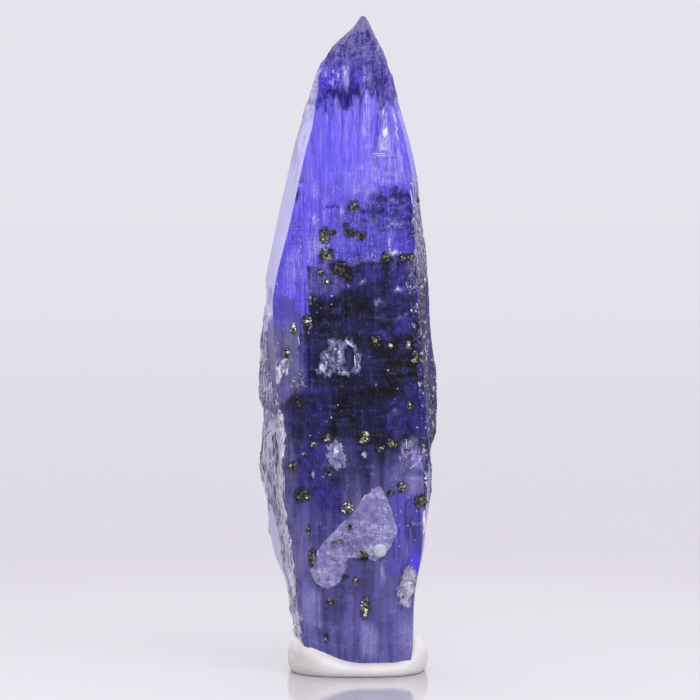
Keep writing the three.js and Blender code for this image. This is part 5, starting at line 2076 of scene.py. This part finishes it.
    def _crystals(self, draw: Draw, material: Material) -> Object:
        """Single glints, blocky crystals crowded over each patch, and flecks in loose islands.

        Args:
            draw: the random numbers.
            material: the crusts' material.

        Returns:
            The piece.
        """
        surface = self.surface
        x, z, halves = np.array(self.glints).T
        batches = [(*surface.anchors(x, z), halves)]
        for x, z, width, height, count, half in self.patches:
            angle, reach = draw.uniform(0, 2 * np.pi, count), np.sqrt(draw.uniform(0, 1, count))
            anchors = surface.anchors(x + width * reach * np.cos(angle), z + height * reach * np.sin(angle))
            batches.append((*anchors, half * draw.uniform(0.45, 1.2, count)))
        front = on_faces(surface.side, Facing.FRONT)
        weight = surface.patchy(tuple(Facing), self.fleck_z, 93) * (1 - 0.7 * front)
        weight = weight + 0.6 * surface.masks["grain"] ** 2
        flecks = surface.scatter(self.flecks, weight, draw)
        batches.append((*flecks, 0.012 + 0.04 * draw.uniform(0, 1, self.flecks) ** 2))
        places, normals, halves = map(np.concatenate, zip(*batches))
        sizes = halves[:, None] * draw.uniform(*self.crystal_shape, (len(places), 3))
        turns = tumbled_frames(normals, draw, self.tumble)
        mesh = joined_copies("pale_crusts", lump(4, 4, BOXY), places, sizes, turns)
        return new_piece(mesh, material)

    def _splinters(self, draw: Draw, material: Material) -> Object:
        """Thin pale blades that lie up the splintered left side.

        Args:
            draw: the random numbers.
            material: the crusts' material.

        Returns:
            The piece.
        """
        weight = self.surface.masks["rope"] ** 4 * smooth_step(*self.splinter_z, self.surface.points[..., 2])
        anchors = self.surface.scatter(self.splinters, weight, draw)
        sizes = draw.uniform(*self.splinter_range, (self.splinters, 3))
        up = np.array((0, 0, 1.0)) + 0.12 * draw.normal(size=anchors[1].shape)
        return self._blades("pale_splinters", anchors, up, sizes, material)

    def _glints_and_streaks(self) -> Object:
        """Thin pale blades on the front face, each at its own lean: painted highlights on the edges of chips
        and steps, and pale streaks.

        Returns:
            The piece.
        """
        x, z, length, width, lean = np.array(self.glints_and_streaks).T
        sizes = np.stack((length, width, 0.6 * width), axis=-1)
        anchors, along = self.surface.anchors(x, z), leaning(np.radians(lean))
        return self._blades("painted_glints_and_streaks", anchors, along, sizes, self.glint_and_streak_finish.material())

    def _needles(self, draw: Draw) -> Object:
        """The felt of fine grey needles low on the right, most of them leaning up to the right.

        Args:
            draw: the random numbers.

        Returns:
            The piece.
        """
        x, z = draw.uniform(*self.needle_box, (self.needles, 2)).T
        inside = NEEDLE_PATCH.cover(x, z) > 0.4
        anchors = self.surface.anchors(x[inside], z[inside])
        turn = draw.normal(*self.needle_lean, len(anchors[0]))
        sizes = draw.uniform(*self.needle_range, (len(turn), 3))
        material = self.needle_finish.material()
        return self._blades("grey_needles", anchors, leaning(turn), sizes, material, grid=(5, 6))

    @staticmethod
    def _blades(name: str, anchors: tuple[Array, Array], along: Array, sizes: Array,
                material: Material, grid: tuple[int, int] = (6, 8)) -> Object:
        """Thin blades that lie on the surface, as one piece.

        Args:
            name: the piece's name.
            anchors: the blades' middles, and the surface's normals there.
            along: their directions.
            sizes: their half length, half width and half thickness.
            material: their material.
            grid: how many points each has round and along it.

        Returns:
            The piece.
        """
        places, normals = anchors
        mesh = joined_copies(name, lump(*grid, ROUNDED), places, sizes, aligned_frames(normals, along))
        return new_piece(mesh, material)

    def _disc(self) -> Object:
        """The round pale disc, half sunk in the front face.

        Returns:
            The piece.
        """
        x, z = self.disc_place
        places, normals = self.surface.anchors((x,), (z,))
        turns = tumbled_frames(normals, np.random.default_rng(self.seed), 0.0)
        mesh = joined_copies("pale_disc", lump(40, 16, ROUNDED), places, np.array((self.disc_half,)), turns)
        return new_piece(mesh, self.disc_finish.material(), 50)


@dataclass
class PuttyPad:
    """The pressed pad of putty round the crystal's foot: a bead, thin in front and fat at both ends."""

    form: CrystalForm
    middle: Pair = (0.55, 0.15)
    half: Pair = (4.37, 3.82)
    squareness: float = 2.35
    # The bead's height in each direction, in degrees anticlockwise from +X.
    crest: tuple[Pair, ...] = (
        (0, 2.15), (40, 1.95), (90, 1.75), (140, 1.9), (175, 2.15), (190, 2.3), (205, 2.2), (221, 1.98),
        (228, 1.74), (235, 1.5), (243, 1.26), (250, 1.08), (257, 0.92), (265, 0.84), (280, 0.82),
        (305, 0.82), (312, 0.86), (320, 1.1), (327, 1.7), (337, 2.1), (350, 2.2),
    )
    inset: float = 0.08  # how far the bead is drawn in at the floor, as a share of the way out
    belly: float = 0.38  # the height of its widest part, as a share of the crest's
    roundness: float = 0.85
    seat_gap: float = 0.03  # under the crystal's foot
    section_z: float = 1.2  # where the crystal's section borders the bead
    sectors: int = 240
    rings: tuple[int, int, int] = (10, 44, 14)  # under the crystal, over the bead and below its belly

    def build(self) -> Object:
        """Makes the pad's mesh, dresses it, and lets it replace its solid.

        Returns:
            The pad.
        """
        rows = self._rows(np.linspace(0, 2 * np.pi, self.sectors, endpoint=False)[None])
        hubs = np.array(((*self.middle, self.form.foot_z - self.seat_gap), (*self.middle, 0.0)))
        faces = map(flipped, ring_faces(len(rows), self.sectors))
        mesh = mesh_from_arrays("putty", np.concatenate((rows.reshape(-1, 3), hubs)), *faces)
        piece = new_piece(mesh, PuttyFinish().material(), 60)
        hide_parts(PUTTY_NODE)
        return piece

    def _rows(self, turn: Array) -> Array:
        """Rings of points from the middle of the top, over the bead, to the floor.

        Under the crystal the rings follow its foot. Over the bead the way out goes with the sine of an
        angle and the height with its cosine, both to the power of the roundness. Below the belly a
        quarter of an ellipse draws the bead in.

        Args:
            turn: the directions, in radians, of shape (1, sectors).

        Returns:
            The points, of shape (rings, sectors, 3).
        """
        border, crest = self._border(turn), self._crest(turn)
        inner = self._plan(np.linspace(0.1, 0.95, self.rings[0])[:, None] * border, turn)
        seat = self.form.foot_height(inner[..., 0]) - self.seat_gap
        bow = np.linspace(0, np.pi / 2, self.rings[1])[:, None]
        share = border + (1 - border) * np.sin(bow) ** self.roundness
        over = self._plan(share, turn)
        height = crest * (self.belly + (1 - self.belly) * np.cos(bow) ** self.roundness)
        height = height + 0.03 * noise(over[..., 0] * 0.7, over[..., 1] * 0.7, height, 95) * np.sin(2 * bow)
        curl = np.linspace(0, np.pi / 2, self.rings[2] + 1)[1:, None]
        under = self._plan(1 - self.inset * (1 - np.cos(curl)) + 0 * turn, turn)
        foot = crest * self.belly * (1 - np.sin(curl))
        rows = [np.concatenate((plan, up[..., None]), axis=-1)
                for plan, up in ((inner, seat), (over, height), (under, foot))]
        return np.concatenate(rows)

    def _crest(self, turn: Array) -> Array:
        """The bead's height in each direction: the table, softened over a few degrees.

        Args:
            turn: the directions, in radians.

        Returns:
            The heights.
        """
        angles, heights = np.array(self.crest).T
        steps = np.linspace(-8, 8, 9)
        readings = [np.interp(np.degrees(turn) + step, angles, heights, period=360) for step in steps]
        return np.mean(readings, axis=0)

    def _plan(self, share: Array, turn: Array) -> Array:
        """The x and y at a share of the way out, in a direction: an uneven, slightly square oval.

        Args:
            share: the shares.
            turn: the directions, in radians.

        Returns:
            The x and y, of the broadcast shape and (2,).
        """
        power = self.squareness
        square = (np.abs(np.cos(turn)) ** power + np.abs(np.sin(turn)) ** power) ** (-1 / power)
        uneven = square * (1 + 0.012 * np.sin(2 * turn + 1) + 0.008 * np.sin(5 * turn))
        return np.stack((self.middle[0] + self.half[0] * uneven * share * np.cos(turn),
                         self.middle[1] + self.half[1] * uneven * share * np.sin(turn)), axis=-1)

    def _border(self, turn: Array) -> Array:
        """The way out to the crystal's section at the foot, in each direction, with its corners rounded.

        Each edge gives the share at which the direction crosses its line. The inverses of the shares
        are raised to a high power and summed, so that the nearest edge counts most.

        Args:
            turn: the directions, in radians.

        Returns:
            The shares, just inside the section.
        """
        corners = self.form.corners(np.array((self.section_z,)))[0]
        middle = np.array(self.middle)
        ray = self._plan(np.ones_like(turn), turn) - middle
        total = np.zeros(turn.shape)
        for start, end in zip(corners, np.roll(corners, -1, axis=0)):
            outwards = np.array((end[1] - start[1], start[0] - end[0]))
            total += np.maximum(0, ray @ outwards / ((start - middle) @ outwards)) ** 16
        return 0.98 * total ** (-1 / 16)


@dataclass(frozen=True)
class Lamp:
    """A soft box: its place and aim in millimetres, its width and height, and its power in watts."""

    name: str
    place: Triple
    aim: Triple
    size: Pair
    power: float


@dataclass(frozen=True)
class SoftBox:
    """A soft bright part of the light tent: its direction, half angle in degrees, and added brightness."""

    direction: Triple
    half_angle: float
    gain: float


@dataclass
class Studio:
    """The pale floor, the soft light and the camera."""

    floor_radii: tuple[float, ...] = (20, 80, 300, 1400)
    floor_sectors: int = 96
    world: Colour = srgb(230, 227, 236)
    tent: float = 0.55  # how much brighter the light tent is overhead than at the horizon
    boxes: tuple[SoftBox, ...] = (
        SoftBox((0.05, 0.9, 0.42), 34, 1.3),
        SoftBox((-0.66, 0.66, 0.3), 26, 2.2),
        SoftBox((0.35, -0.75, 0.55), 38, 1.9),
    )
    lamps: tuple[Lamp, ...] = (
        Lamp("key_right", (130, -150, 170), (0, 0, 20), (130, 130), 0.06),
    )
    lens: float = 200
    elevation: float = 3.0
    aim: Triple = (0.06, 0, 20.2)
    frame_height: float = 43.9

    def build(self) -> None:
        """Makes the floor, the world's light, the lamps and the camera."""
        self._floor()
        self._world()
        for lamp in self.lamps:
            self._lamp(lamp)
        self._camera()
        bpy.context.scene.view_settings.view_transform = "Standard"

    def _floor(self) -> None:
        """A round floor: rings of points round the middle."""
        wide = self.floor_sectors
        turn = np.linspace(0, 2 * np.pi, wide, endpoint=False)
        ring = np.stack((np.cos(turn), np.sin(turn), 0 * turn), axis=-1)
        rings = np.array(self.floor_radii, float)[:, None, None] * ring
        vertices = np.concatenate((rings.reshape(-1, 3), np.zeros((1, 3))))
        quads, fans = map(flipped, ring_faces(len(rings), wide))
        mesh = mesh_from_arrays("floor", vertices, quads, fans[:wide])
        floor = bpy.data.objects.new("floor", mesh)
        bpy.context.scene.collection.objects.link(floor)
        mesh.materials.append(StudioFinish().material())

    def _world(self) -> None:
        """A pale light tent, even near the horizon, and brighter overhead and at its soft boxes.

        A soft box's share at a direction goes by the cosine between the two.
        """
        world = bpy.data.worlds.new("studio")
        shader = Shader(world)
        towards = shader.node("ShaderNodeTexCoord", {}, {}).outputs["Generated"]
        _, _, up = shader.axes(towards)
        strength = up.rise(0.14, 0.7) * self.tent + 1.0
        for box in self.boxes:
            inputs = {0: towards, 1: tuple(np.array(box.direction) / np.linalg.norm(box.direction))}
            near = shader.value("ShaderNodeVectorMath", {"operation": "DOT_PRODUCT"}, inputs, 1)
            edge = math.cos(math.radians(box.half_angle))
            strength = strength + near.rise(edge, (1 + edge) / 2) * up.rise(0.1, 0.25) * box.gain
        background = shader.node("ShaderNodeBackground", {}, {"Color": self.world, "Strength": strength})
        shader.node("ShaderNodeOutputWorld", {}, {"Surface": background.outputs[0]})
        bpy.context.scene.world = world

    def _lamp(self, lamp: Lamp) -> None:
        """One soft box, turned towards its aim.

        Args:
            lamp: its place, aim, size and power.
        """
        light = bpy.data.lights.new(lamp.name, "AREA")
        light.shape = "RECTANGLE"
        light.size, light.size_y = (side * MM for side in lamp.size)
        light.energy = lamp.power
        holder = self._holder(lamp.name, light, lamp.place, lamp.aim)
        holder.visible_camera = False

    def _camera(self) -> None:
        """A long lens a little above the specimen's middle, far enough to hold the frame's height."""
        camera = bpy.data.cameras.new("camera")
        camera.lens = self.lens
        camera.clip_start, camera.clip_end = 0.01, 10
        distance = self.frame_height * self.lens / camera.sensor_width
        tilt = math.radians(self.elevation)
        x, y, z = self.aim
        place = (x, y - distance * math.cos(tilt), z + distance * math.sin(tilt))
        bpy.context.scene.camera = self._holder("camera", camera, place, self.aim)

    @staticmethod
    def _holder(name: str, data: bpy.types.Light | bpy.types.Camera, place: tuple[float, ...],
                aim: tuple[float, ...]) -> Object:
        """An object that holds a light or a camera and looks at an aim.

        Args:
            name: its name.
            data: the light or the camera.
            place, aim: where it stands and looks, in millimetres.

        Returns:
            The object.
        """
        holder = bpy.data.objects.new(name, data)
        bpy.context.scene.collection.objects.link(holder)
        holder.location = Vector(place) * MM
        towards = Vector(aim) - Vector(place)
        holder.rotation_euler = towards.to_track_quat("-Z", "Y").to_euler()
        return holder


def main() -> None:
    """Builds the specimen and its studio, and reports each piece."""
    logging.basicConfig(level=logging.INFO, format="%(name)s: %(message)s")
    surface = CrystalSurface()
    Crystal(surface).build()
    Pyrites(surface).build()
    Crusts(surface).build()
    PuttyPad(surface.form).build()
    Studio().build()


if __name__ == "__main__":
    main()
